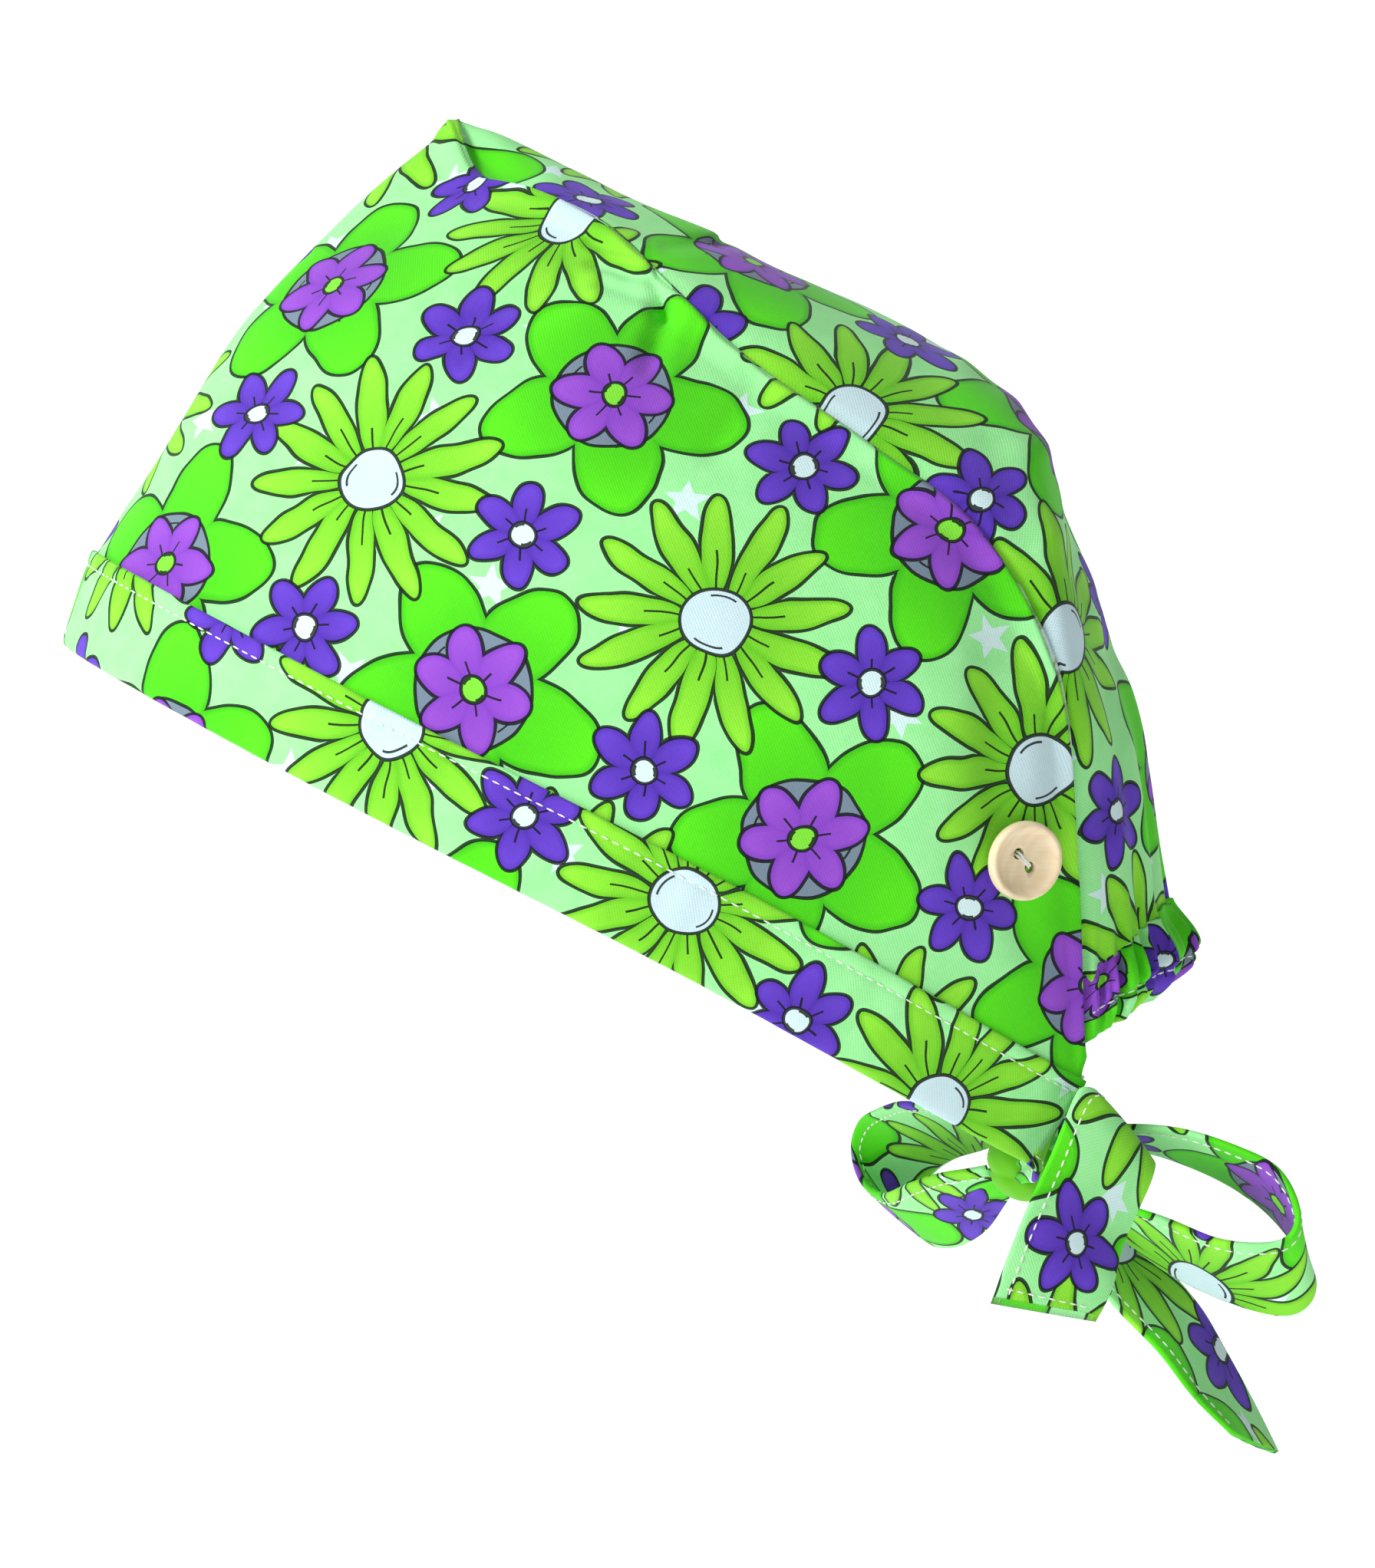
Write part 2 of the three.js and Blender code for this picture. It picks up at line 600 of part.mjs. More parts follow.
// A button along +Y with a raised rim, a dished middle and two holes
function buttonGeometry() {
  const section = BUTTON_PROFILE.map(
    (point) => [point.radius * BUTTON_DIAMETER / 2, point.height * BUTTON_THICKNESS],
  );
  const drill = rod(BUTTON_HOLE / 2, -BUTTON_THICKNESS, 2 * BUTTON_THICKNESS, HOLE_SIDES);
  const holes = [-1, 1].map((end) => drill.translate([end * BUTTON_HOLE_SPACING / 2, 0, 0]));
  return toGeometry(turned(section, BUTTON_SIDES).subtract(holes[0]).subtract(holes[1]));
}

// The thread: two legs through the holes and the stitch across the button's dish
function threadGeometry() {
  const radius = THREAD_DIAMETER / 2;
  const dish = BUTTON_PROFILE.at(-2).height * BUTTON_THICKNESS;
  const top = dish + GAP + radius;
  const leg = rod(radius, 0, top, THREAD_SIDES);
  const stitch = rod(radius, 0, BUTTON_HOLE_SPACING + THREAD_DIAMETER, THREAD_SIDES);
  const across = stitch.rotate([0, 0, -90]).translate([-BUTTON_HOLE_SPACING / 2 - radius, top, 0]);
  const legs = [-1, 1].map((end) => leg.translate([end * BUTTON_HOLE_SPACING / 2, 0, 0]));
  return toGeometry(legs[0].add(legs[1]).add(across));
}

// Stands a mesh made along +Y on the wrap panel, at the button's place
function seatOnPanel(mesh, side) {
  const { along, up } = BUTTON_AT;
  const step = 0.02;
  const at = wrapPoint(side * along, up);
  const ahead = wrapPoint(side * (along + step), up).sub(at);
  const above = wrapPoint(side * along, up + step).sub(at);
  const outward = ahead.cross(above).normalize();
  if (outward.x * side < 0) outward.negate();
  let proud = 0;
  const steps = 5;
  for (let i = -steps; i <= steps; i += 1) {
    for (let j = -steps; j <= steps; j += 1) {
      const near = wrapPoint(side * (along + i * step), up + j * step).sub(at);
      if (near.length() < 0.6 * BUTTON_DIAMETER) proud = Math.max(proud, near.dot(outward));
    }
  }
  mesh.position.copy(at).addScaledVector(outward, proud + GAP);
  const tilt = new THREE.Quaternion().setFromUnitVectors(vector(0, 1, 0), outward);
  const turn = new THREE.Quaternion().setFromAxisAngle(vector(0, 1, 0), radians(side * BUTTON_TURN));
  mesh.quaternion.copy(tilt).multiply(turn);
}

const finish = (color, roughness) => new THREE.MeshStandardMaterial({ color, roughness, metalness: 0 });
const printed = () => finish(0xa4f08c, 0.85);
const wood = () => finish(0xe2c79b, 0.55);
const thread = () => finish(0xf4f4ee, 0.8);

const group = new THREE.Group();

function addPiece(name, geometry, material) {
  const mesh = new THREE.Mesh(geometry, material);
  mesh.name = name;
  group.add(mesh);
  return mesh;
}

const signed = (t) => 2 * t - 1;
const angleAt = (t) => Math.PI * (t - 0.5);

const cuff = makeSheet(CUFF_ROWS, 2 * HALF_COLUMNS, (v, t) => cuffPoint(signed(t), v));
const wrap = makeSheet(PANEL_ROWS, 2 * HALF_COLUMNS, (v, t) => wrapPoint(signed(t), v));
const crown = makeSheet(CROWN_ROWS, CROWN_COLUMNS, (t, a) => crownPoint(t * CROWN_END, angleAt(a)));
const casing = makeSheet(CASING_ROWS, CROWN_COLUMNS, (v, a) => casingPoint(angleAt(a), v));
joinNormals([cuff, wrap, crown, casing]);
easeSides(crown, 5 * PANEL_WALL);
easeEnds(casing);

addPiece('cuff', makeWall(cuff, 0, CUFF_WALL), printed());
addPiece('wrap_panel', makeWall(wrap, 0, PANEL_WALL), printed());
addPiece('crown_panel', makeWall(crown, 0, PANEL_WALL), printed());
addPiece('elastic_casing', makeWall(casing, 0, CASING_WALL), printed());

for (const [label, side] of [['left', 1], ['right', -1]]) {
  seatOnPanel(addPiece(`button_${label}`, buttonGeometry(), wood()), side);
  seatOnPanel(addPiece(`button_thread_${label}`, threadGeometry(), thread()), side);
  addPiece(`tie_${label}`, strapGeometry(tieSheet(side)), printed());
}
addPiece('knot', knotGeometry(), printed());
addPiece('bow_loop_left', strapGeometry(strapSheet(LOOP_LEFT, LOOP_LENGTH)), printed());
addPiece('bow_loop_right', strapGeometry(strapSheet(LOOP_RIGHT, LOOP_LENGTH)), printed());
addPiece('tail_hemmed', strapGeometry(strapSheet(TAIL_HEMMED, HEMMED_TAIL_LENGTH)), printed());
addPiece('tail_pointed', strapGeometry(strapSheet(TAIL_POINTED, POINTED_TAIL_LENGTH)), printed());

export default group;
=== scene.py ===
"""Looks for a worn scrub cap of printed cotton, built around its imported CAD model.

The cloth follows the same curves as the solids, with seams, hems, folds and stitches added.
Lengths are in metres, +Z is up, the forehead points towards -Y and the wearer's left is +X.
"""

import logging
import math
from dataclasses import dataclass, field
from enum import Enum

import bmesh
import bpy
import numpy as np
from mathutils import Matrix, Vector, noise

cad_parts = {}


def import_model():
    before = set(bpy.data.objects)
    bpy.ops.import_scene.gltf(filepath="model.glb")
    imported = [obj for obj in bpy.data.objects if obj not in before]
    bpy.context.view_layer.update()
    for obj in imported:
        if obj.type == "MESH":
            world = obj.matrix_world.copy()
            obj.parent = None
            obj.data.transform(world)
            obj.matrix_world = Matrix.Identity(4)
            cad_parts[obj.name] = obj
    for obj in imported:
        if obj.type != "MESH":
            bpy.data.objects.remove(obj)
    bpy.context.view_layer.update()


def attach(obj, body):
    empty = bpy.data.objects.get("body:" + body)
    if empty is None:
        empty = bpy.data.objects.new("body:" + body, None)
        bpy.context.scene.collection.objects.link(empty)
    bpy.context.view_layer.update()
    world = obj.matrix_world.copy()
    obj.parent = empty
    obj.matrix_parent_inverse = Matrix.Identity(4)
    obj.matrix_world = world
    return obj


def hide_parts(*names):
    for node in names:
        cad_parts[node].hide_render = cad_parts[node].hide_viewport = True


LOG = logging.getLogger("scrub_cap")
MM = 0.001
Array = np.ndarray
# How much further than its share each thread is drawn when cloth is laid flat.
OVERPULL = 1.2
# A stitch's visible length as a share of its pitch, and its half width and height.
STITCH_LENGTH = 0.72
THREAD_HALF_WIDTH = 0.22 * MM
THREAD_HALF_HEIGHT = 0.2 * MM

# Each table runs in equal steps from the middle of the forehead to the end of the cuff.
# side: share of the half width. back: share of the cuff's length. height: share of the crown's.
CUFF_SEAM = {
    "side": (0, 0.318, 0.558, 0.747, 0.89, 0.974, 1, 0.987, 0.916, 0.766, 0.584),
    "back": (0, 0.031, 0.096, 0.192, 0.299, 0.41, 0.529, 0.644, 0.766, 0.888, 1),
}
CROWN_SEAM = {
    "side": (0, 0.203, 0.407, 0.619, 0.797, 0.89, 0.966, 1, 0.966, 0.881, 0.771),
    "back": (0.374, 0.4, 0.463, 0.533, 0.596, 0.674, 0.789, 0.896, 0.97, 0.99, 0.996),
    "height": (1, 0.921, 0.891, 0.84, 0.759, 0.664, 0.561, 0.455, 0.282, 0.054, -0.179),
}
CREST = {
    "back": (0.374, 0.431, 0.5, 0.583, 0.683, 0.783, 0.874, 0.952, 1.02, 1.085, 1.104),
    "height": (1, 0.97, 0.93, 0.879, 0.821, 0.762, 0.699, 0.61, 0.434, 0.184, -0.108),
    "arch": (4, 3.6, 2.8, 2, 1.6, 1.4, 1.25, 1.1, 1, 1, 1),
}
FULLNESS = {
    "side": (0, 0.2, 0.64, 0.74, 0.79, 0.82, 0.71, 0.5, 0.32, 0.14, 0),
    "back": (-0.41, -0.9, -0.5, -0.14, 0, 0.05, 0.21, 0.43, 0.36, 0.21, 0),
    "height": (0.34, 0.42, 0.43, 0.28, 0.2, 0.14, 0, 0, 0, 0, 0),
}
# Routes of the straps from the knot, in equal steps. x, y and z: shares of the strap's length.
# lean and swing: how far its width leans over the level, and swings from +X to +Y, in degrees.
LOOP_LEFT = {
    "x": (0.02, 0.1, 0.17, 0.23, 0.28, 0.3, 0.27, 0.22, 0.13, 0.04),
    "y": (0.12, 0.28, 0.53, 0.78, 0.95, 1.04, 0.97, 0.73, 0.47, 0.12),
    "z": (0.06, 0.09, 0.07, -0.02, -0.14, -0.32, -0.43, -0.4, -0.28, -0.08),
    "lean": (8, 14, 18, 25, 36, 46, 47, 36, 28, 10),
    "swing": (0, 0, 0, -5, -10, -20, -14, -4, 0, 0),
    "width": (0.42, 0.85, 1, 1, 1, 1, 1, 1, 0.95, 0.42),
}
LOOP_RIGHT = {
    "x": (-0.09, -0.27, -0.48, -0.7, -0.87, -0.95, -0.87, -0.68, -0.47, -0.27, -0.1),
    "y": (-0.09, -0.2, -0.3, -0.4, -0.48, -0.52, -0.48, -0.39, -0.29, -0.2, -0.09),
    "z": (0.07, 0.11, 0.1, 0.05, -0.03, -0.17, -0.29, -0.31, -0.24, -0.15, -0.07),
    "lean": (20, 25, 28, 30, 34, 40, 38, 32, 28, 22, 15),
    "swing": (-58, -58, -58, -58, -58, -58, -58, -58, -58, -58, -58),
    "width": (0.42, 0.8, 1, 1, 1, 1, 1, 1, 1, 0.8, 0.42),
}
TAIL_HEMMED = {
    "x": (0.1, 0.27, 0.467, 0.575, 0.567, 0.622, 0.638),
    "y": (0.08, 0.23, 0.333, 0.297, 0.188, 0.1, 0.03),
    "z": (0.05, 0.1, 0.158, 0.137, -0.117, -0.333, -0.503),
    "lean": (-80, -60, -41, -42, -42, -27, -11),
    "swing": (90, 115, 135, 129, 123, 110, 106),
    "width": (0.45, 0.8, 1, 1.2, 1.12, 1.04, 1),
}
TAIL_POINTED = {
    "x": (0, -0.054, -0.109, -0.109, -0.114, -0.103),
    "y": (0.04, 0.141, 0.275, 0.391, 0.473, 0.587),
    "z": (-0.07, -0.196, -0.322, -0.443, -0.565, -0.739),
    "lean": (0, -14, -20, -20, -13, 18),
    "swing": (0, -18, -27, -27, -27, -35),
    "width": (0.4, 0.85, 1, 1, 0.98, 0.94),
}


class Side(Enum):
    """The wearer's left and right."""

    LEFT = 1
    RIGHT = -1

    @property
    def label(self) -> str:
        """The word that ends a piece's name."""
        return self.name.lower()


class Mirror(Enum):
    """How a table goes on before its first row."""

    STRAIGHT = 0
    SAME = 1
    OPPOSITE = -1


@dataclass(frozen=True)
class Crease:
    """A fold between two points seen from the side, on both sides of the cap.

    start and end are (y, z). spread is its half width. rise is positive for a ridge. sharp
    gives a pucker with lips in place of a soft fold.
    """

    start: tuple[float, float]
    end: tuple[float, float]
    spread: float
    rise: float
    sharp: bool = False


SOLID_FOLDS = (
    Crease((0.0053, 0.155), (0.0237, 0.1328), 0.0041, -0.003),
    Crease((-0.0085, 0.1587), (0.0076, 0.1421), 0.0037, -0.0015),
    Crease((-0.0039, 0.1661), (0.0168, 0.1421), 0.003, 0.0015),
    Crease((0.1019, 0.1144), (0.1146, 0.0517), 0.0055, 0.0024),
    Crease((0.095, 0.0609), (0.1065, -0.0092), 0.0055, -0.0015),
    Crease((0.1249, 0.0554), (0.1272, 0.0037), 0.0055, -0.0018),
)
WRAP_CREASES = (
    Crease((0.0030, 0.1600), (0.0210, 0.1500), 0.0032, -0.0021, True),
    Crease((0.0219, 0.1488), (0.0234, 0.1340), 0.0036, -0.0030, True),
    Crease((0.0234, 0.1340), (0.0200, 0.1215), 0.0040, -0.0018, True),
    Crease((0.0060, 0.1515), (0.0205, 0.1455), 0.0021, -0.0013, True),
    Crease((0.0070, 0.1455), (0.0205, 0.1410), 0.0021, -0.0012, True),
    Crease((0.0095, 0.1400), (0.0195, 0.1365), 0.0021, -0.0009, True),
    Crease((0.0028, 0.1408), (-0.0294, 0.1288), 0.0028, -0.0010, True),
    Crease((0.0035, 0.1365), (-0.0220, 0.1225), 0.0028, -0.0008, True),
    Crease((0.0219, 0.1257), (0.0420, 0.1270), 0.0040, -0.0012),
    Crease((-0.0261, 0.1820), (-0.0200, 0.1690), 0.0030, -0.0024, True),
    Crease((0.0460, 0.1180), (0.0350, 0.1010), 0.0045, -0.0012),
    Crease((0.1020, 0.0550), (0.0960, 0.0100), 0.0070, -0.0012),
    Crease((-0.0700, 0.1180), (-0.0450, 0.1000), 0.0060, -0.0009),
)
CROWN_CREASES = (
    Crease((-0.0240, 0.1790), (-0.0130, 0.1660), 0.0045, -0.0026, True),
    Crease((0.0080, 0.1625), (0.0330, 0.1553), 0.0034, 0.0016, True),
    Crease((0.0240, 0.1500), (0.0360, 0.1530), 0.0030, -0.0014, True),
    Crease((0.0902, 0.1228), (0.1052, 0.1027), 0.0050, 0.0020),
    Crease((0.1052, 0.1027), (0.1103, 0.0826), 0.0050, 0.0020),
    Crease((0.1103, 0.0826), (0.1130, 0.0500), 0.0050, 0.0016),
    Crease((0.1180, 0.0900), (0.1190, 0.0500), 0.0045, -0.0014),
    Crease((0.1290, 0.0700), (0.1230, 0.0200), 0.0050, -0.0016),
    Crease((0.1400, 0.0450), (0.1370, 0.0000), 0.0050, -0.0014),
)


def smooth(table: dict, column: str, share: Array, mirror: Mirror = Mirror.STRAIGHT) -> Array:
    """A smooth curve through one column of a table.

    Args:
        table: the table.
        column: the name of its column.
        share: how far along the table each value is read, from 0 to 1.
        mirror: how the table goes on before its first row.

    Returns:
        One value for each share.
    """
    values = np.asarray(table[column], float)
    last = len(values) - 1
    span = np.minimum(np.floor(share * last).astype(int), last - 1)
    part = share * last - span
    before = 2 * values[0] - values[1]
    if mirror is not Mirror.STRAIGHT:
        before = mirror.value * values[1]
    padded = np.concatenate([[before], values, [2 * values[-1] - values[-2]]])
    a, b, c, d = (padded[span + step] for step in range(4))
    bend = (2 * a - 5 * b + 4 * c - d) * part**2 + (3 * b - a - 3 * c + d) * part**3
    return b + 0.5 * ((c - a) * part + bend)


def triple(x: Array, y: Array, z: Array) -> Array:
    """Points from their three coordinates, which may be arrays or numbers."""
    return np.stack(np.broadcast_arrays(x, y, z), axis=-1)


def unit(vectors: Array) -> Array:
    """The same vectors at length 1, and zero where they are zero."""
    length = np.linalg.norm(vectors, axis=-1, keepdims=True)
    return vectors / np.maximum(length, 1e-12)


def travelled(path: Array) -> Array:
    """How far along a path each of its points is."""
    steps = np.linalg.norm(np.diff(path, axis=0), axis=-1)
    return np.concatenate([[0], np.cumsum(steps)])


def read_along(share: Array, known: Array, points: Array) -> Array:
    """Points of a path read between the places where they are known."""
    return np.stack([np.interp(share, known, points[:, axis]) for axis in range(3)], axis=-1)


def laid_flat(along: Array, over: Array) -> Array:
    """A flat grid from the lengths along its columns and down its rows."""
    return np.stack(np.broadcast_arrays(along[None, :], over[:, None]), axis=-1)


def ease(value: Array) -> Array:
    """A smooth step from 0 to 1."""
    held = np.clip(value, 0, 1)
    return held * held * (3 - 2 * held)


def pleats(angle: Array) -> Array:
    """The wave of the pleats that the elastic draws up round the nape."""
    return np.cos(40 * angle + 1.6 * np.sin(7 * angle))


def fold_rise(points: Array, creases: tuple[Crease, ...]) -> Array:
    """How far folds lift the cloth at each point, in metres.

    Args:
        points: points on the cloth.
        creases: the folds to add up.

    Returns:
        One height for each point.
    """
    rise = np.zeros(points.shape[:-1])
    for crease in creases:
        start = np.array(crease.start)
        along = np.array(crease.end) - start
        offset = points[..., 1:] - start
        share = np.clip(offset @ along / (along @ along), 0, 1)
        away = np.linalg.norm(offset - share[..., None] * along, axis=-1) / crease.spread
        profile = np.exp(-(away**2))
        if crease.sharp:
            profile = profile * (1 - 0.9 * away**2)
        rise += crease.rise * profile
    return rise


def crumple(points: Array, dents: tuple[tuple[float, float, float], ...]) -> Array:
    """Gentle unevenness of worn cloth.

    Args:
        points: points on the cloth.
        dents: for each kind of dent, how far apart, how deep, and a seed that moves them.

    Returns:
        One height for each point.
    """
    rise = np.zeros(points.shape[:-1])
    for size, depth, seed in dents:
        heights = [noise.noise(Vector(point)) for point in points.reshape(-1, 3) / size + seed]
        rise += depth * np.array(heights).reshape(rise.shape)
    return rise


def surface_normals(points: Array, inside: Array) -> Array:
    """The outward direction at each point of a grid.

    Args:
        points: the grid, rows by columns by 3.
        inside: a point that the sheet's outer face looks away from.

    Returns:
        A grid of unit vectors.
    """
    normals = unit(np.cross(np.gradient(points, axis=0), np.gradient(points, axis=1)))
    outward = np.sum(normals * (points - inside))
    return normals if outward >= 0 else -normals


def flatten(points: Array, rounds: int = 1500) -> Array:
    """Lays a grid of cloth flat with as little stretch as its shape allows.

    Args:
        points: the grid, rows by columns by 3.
        rounds: how many times every thread is drawn to its true length.

    Returns:
        The grid laid flat, rows by columns by 2, in metres.
    """
    across = np.linalg.norm(np.diff(points, axis=1), axis=-1)
    down = np.linalg.norm(np.diff(points, axis=0), axis=-1)
    middle = points.shape[1] // 2
    flat = np.zeros((*points.shape[:2], 2))
    flat[:, 1:, 0] = np.cumsum(np.broadcast_to(across.mean(axis=0), across.shape), axis=1)
    flat[..., 0] -= flat[:, middle : middle + 1, 0]
    flat[1:, :, 1] = np.cumsum(down, axis=0)
    rows, columns = points.shape[:2]
    count = np.zeros((rows, columns, 1))
    threads = []
    for down_step, side_step in ((0, 1), (1, 0), (1, 1), (1, -1)):
        left = slice(max(0, -side_step), columns - max(0, side_step))
        right = slice(max(0, side_step), columns + min(0, side_step))
        first = (slice(0, rows - down_step), left)
        second = (slice(down_step, rows), right)
        true = np.linalg.norm(points[second] - points[first], axis=-1, keepdims=True)
        threads.append((first, second, true))
        count[first] += 1
        count[second] += 1
    for _ in range(rounds):
        shift = np.zeros_like(flat)
        for first, second, true in threads:
            thread = flat[second] - flat[first]
            length = np.maximum(np.linalg.norm(thread, axis=-1, keepdims=True), 1e-9)
            pull = 0.5 * thread * (1 - true / length)
            shift[first] += pull
            shift[second] -= pull
        flat += OVERPULL * shift / count
    return flat


def finer(grid: Array, rows: int, columns: int) -> Array:
    """A grid of values read at more places, straight between the ones it has.

    Args:
        grid: the grid, rows by columns by any number of values.
        rows: rows of the finer grid.
        columns: columns of the finer grid.

    Returns:
        The finer grid.
    """
    row = np.linspace(0, grid.shape[0] - 1, rows)
    column = np.linspace(0, grid.shape[1] - 1, columns)
    top = np.minimum(row.astype(int), grid.shape[0] - 2)
    left = np.minimum(column.astype(int), grid.shape[1] - 2)
    down = (row - top)[:, None, None]
    over = (column - left)[None, :, None]
    upper = grid[top][:, left] * (1 - over) + grid[top][:, left + 1] * over
    lower = grid[top + 1][:, left] * (1 - over) + grid[top + 1][:, left + 1] * over
    return upper * (1 - down) + lower * down


@dataclass(frozen=True)
class CapShape:
    """The cap's outline and surfaces, from the same named sizes as its solids."""

    cuff_half_width: float = 0.077
    cuff_length: float = 0.230
    cuff_front: float = 0.112
    cuff_rise: float = 0.021
    cuff_slope: float = math.radians(28)
    cuff_lift: float = 0.0024
    cuff_width: float = 0.022
    cuff_turn_in: float = math.radians(10)
    crown_height: float = 0.1845
    crown_half_width: float = 0.059
    panel_bulge: float = 0.014
    casing_drop: float = 0.020
    casing_puff: float = 0.007
    gather_depth: float = 0.0022
    gathers: int = 9
    gather_start: float = 0.72
    crown_end: float = 27 / 28

    @property
    def inside(self) -> Array:
        """A point in the hollow for the head."""
        return np.array([0, 0, self.crown_height / 3])

    def cuff_seam(self, u: Array) -> Array:
        """The cuff's seam, from the right end (u = -1) past the forehead to the left (u = 1)."""
        t = np.abs(u)
        y = self.cuff_length * smooth(CUFF_SEAM, "back", t, Mirror.SAME) - self.cuff_front
        lift = self.cuff_lift * np.sin(np.pi * u * u) ** 2
        side = smooth(CUFF_SEAM, "side", t, Mirror.OPPOSITE)
        return triple(
            np.sign(u) * self.cuff_half_width * side,
            y,
            self.cuff_rise - math.tan(self.cuff_slope) * y + lift,
        )

    def crown_seam(self, u: Array) -> Array:
        """The seam between the wrap panel and the crown panel, over the same range."""
        t = np.abs(u)
        side = smooth(CROWN_SEAM, "side", t, Mirror.OPPOSITE)
        back = smooth(CROWN_SEAM, "back", t, Mirror.SAME)
        height = smooth(CROWN_SEAM, "height", t, Mirror.SAME)
        return triple(
            np.sign(u) * self.crown_half_width * side,
            self.cuff_length * back - self.cuff_front,
            self.crown_height * height,
        )

    def crest(self, t: Array) -> Array:
        """The middle line of the crown panel, from the tip (t = 0)."""
        back = self.cuff_length * smooth(CREST, "back", t) - self.cuff_front
        return triple(0 * t, back, self.crown_height * smooth(CREST, "height", t))

    def wrap(self, u: Array, v: Array, creases: tuple[Crease, ...] = ()) -> Array:
        """The wrap panel, from the cuff (v = 0) to the crown seam (v = 1)."""
        full = self.panel_bulge * np.maximum(0, np.sin(np.pi * np.maximum(v, 0) ** 1.25))
        t = np.abs(u)
        bulge = triple(
            np.sign(u) * smooth(FULLNESS, "side", t, Mirror.OPPOSITE),
            smooth(FULLNESS, "back", t, Mirror.SAME),
            smooth(FULLNESS, "height", t, Mirror.SAME),
        )
        low, high = self.cuff_seam(u), self.crown_seam(u)
        points = low + (high - low) * v[..., None] + bulge * full[..., None]
        rise = np.sin(np.pi * v) * fold_rise(points, SOLID_FOLDS)
        ends = np.clip(v / 0.12, 0, 1) * np.clip((1 - v) / 0.04, 0, 1)
        rise = rise + ends * fold_rise(points, creases)
        return points + unit(bulge) * rise[..., None]

    def arch_over(self, side: Array, middle: Array, angle: Array, arch: Array) -> Array:
        """A cross-section from the right over the middle to the left.

        Args:
            side: its left end.
            middle: its highest point.
            angle: where on it, from -90 to 90 degrees, in radians.
            arch: 1 is round and 4 is a ridge.

        Returns:
            Points on the cross-section.
        """
        rounded = np.clip(2 - arch, 0, 1)
        across = angle / (np.pi / 2) * (1 - rounded) + np.sin(angle) * rounded
        reach = np.maximum(0, 1 - across**2) ** (arch / 2)
        flat = triple(side[..., 0] * across, side[..., 1], side[..., 2])
        rise = triple(0 * across, middle[..., 1] - side[..., 1], middle[..., 2] - side[..., 2])
        return flat + rise * reach[..., None]

    def gather_wave(self, angle: Array) -> Array:
        """The wave of the gathers round the nape."""
        return np.cos(2 * self.gathers * angle)

    def crown(self, t: Array, angle: Array, creases: tuple[Crease, ...] = ()) -> Array:
        """The crown panel, from the tip (t = 0) to the casing, at an angle across the cap."""
        arch = smooth(CREST, "arch", t)
        points = self.arch_over(self.crown_seam(t), self.crest(t), angle, arch)
        calm = np.cos(angle)
        near = np.maximum(0, (t - self.gather_start) / (1 - self.gather_start))
        gather = self.gather_depth * near**2 * self.gather_wave(angle)
        rise = calm * (gather + fold_rise(points, SOLID_FOLDS))
        rise = rise + np.sqrt(np.maximum(calm, 0)) * fold_rise(points, creases)
        outward = triple(np.sin(angle), np.cos(angle), 0.2)
        return points + outward * rise[..., None]

    def casing(self, angle: Array, v: Array) -> Array:
        """The elastic casing, from the crown panel (v = 0) to its turned-under hem (v = 1)."""
        end = np.full_like(angle, self.crown_end)
        top = self.crown(end, angle)
        hem_middle = self.crest(np.ones_like(angle))
        hem_middle[..., 1] -= self.casing_puff / 2
        hem_middle[..., 2] = self.crest(end)[..., 2] - self.casing_drop
        seam_end = self.crown_seam(np.ones_like(angle))
        hem = self.arch_over(seam_end, hem_middle, angle, np.ones_like(angle))
        puff = self.casing_puff * np.sin(np.pi * np.maximum(v, 0) ** 1.3)
        puff = np.cos(angle) * (puff + self.gather_depth * v * self.gather_wave(angle))
        outward = triple(np.sin(angle), np.cos(angle), 0)
        return top + (hem - top) * v[..., None] + outward * puff[..., None]

    def cuff_axes(self, u: Array) -> tuple[Array, Array]:
        """The directions down the cuff, and out from it, at each u."""
        step = 0.01
        ahead = self.cuff_seam(np.minimum(1, u + step)) - self.cuff_seam(np.maximum(-1, u - step))
        down = np.array([0, -math.sin(self.cuff_slope), -math.cos(self.cuff_slope)])
        outward = unit(np.cross(np.broadcast_to(down, ahead.shape), unit(ahead)))
        slant, turn = math.cos(self.cuff_turn_in), math.sin(self.cuff_turn_in)
        return down * slant - outward * turn, outward * slant + down * turn


@dataclass(frozen=True)
class Cut:
    """Where on the printed cloth a piece is cut from: its turn in degrees and its shift."""

    turn: float
    across: float
    along: float

    def place(self, flat: Array) -> Array:
        """The piece's own flat points, laid on the cloth."""
        cos, sin = math.cos(math.radians(self.turn)), math.sin(math.radians(self.turn))
        x = flat[..., 0] * cos - flat[..., 1] * sin + self.across
        y = flat[..., 0] * sin + flat[..., 1] * cos + self.along
        return np.stack([x, y], axis=-1)


def grid_shape(points: Array, flat: Array) -> bmesh.types.BMesh:
    """A sheet of cloth with its place on the print as its UV map.

    Args:
        points: its grid of points, rows by columns by 3.
        flat: the same grid laid flat on the print, rows by columns by 2.

    Returns:
        The sheet, one layer thick.
    """
    rows, columns = points.shape[:2]
    shape = bmesh.new()
    bmesh.ops.create_grid(shape, x_segments=columns - 1, y_segments=rows - 1, size=1)
    print_map = shape.loops.layers.uv.new("Cloth")
    places = {}
    for vertex in shape.verts:
        column = round((vertex.co.x + 1) / 2 * (columns - 1))
        row = round((vertex.co.y + 1) / 2 * (rows - 1))
        places[vertex.index] = (row, column)
    for face in shape.faces:
        for loop in face.loops:
            loop[print_map].uv = flat[places[loop.vert.index]]
    for vertex in shape.verts:
        vertex.co = points[places[vertex.index]]
    return shape


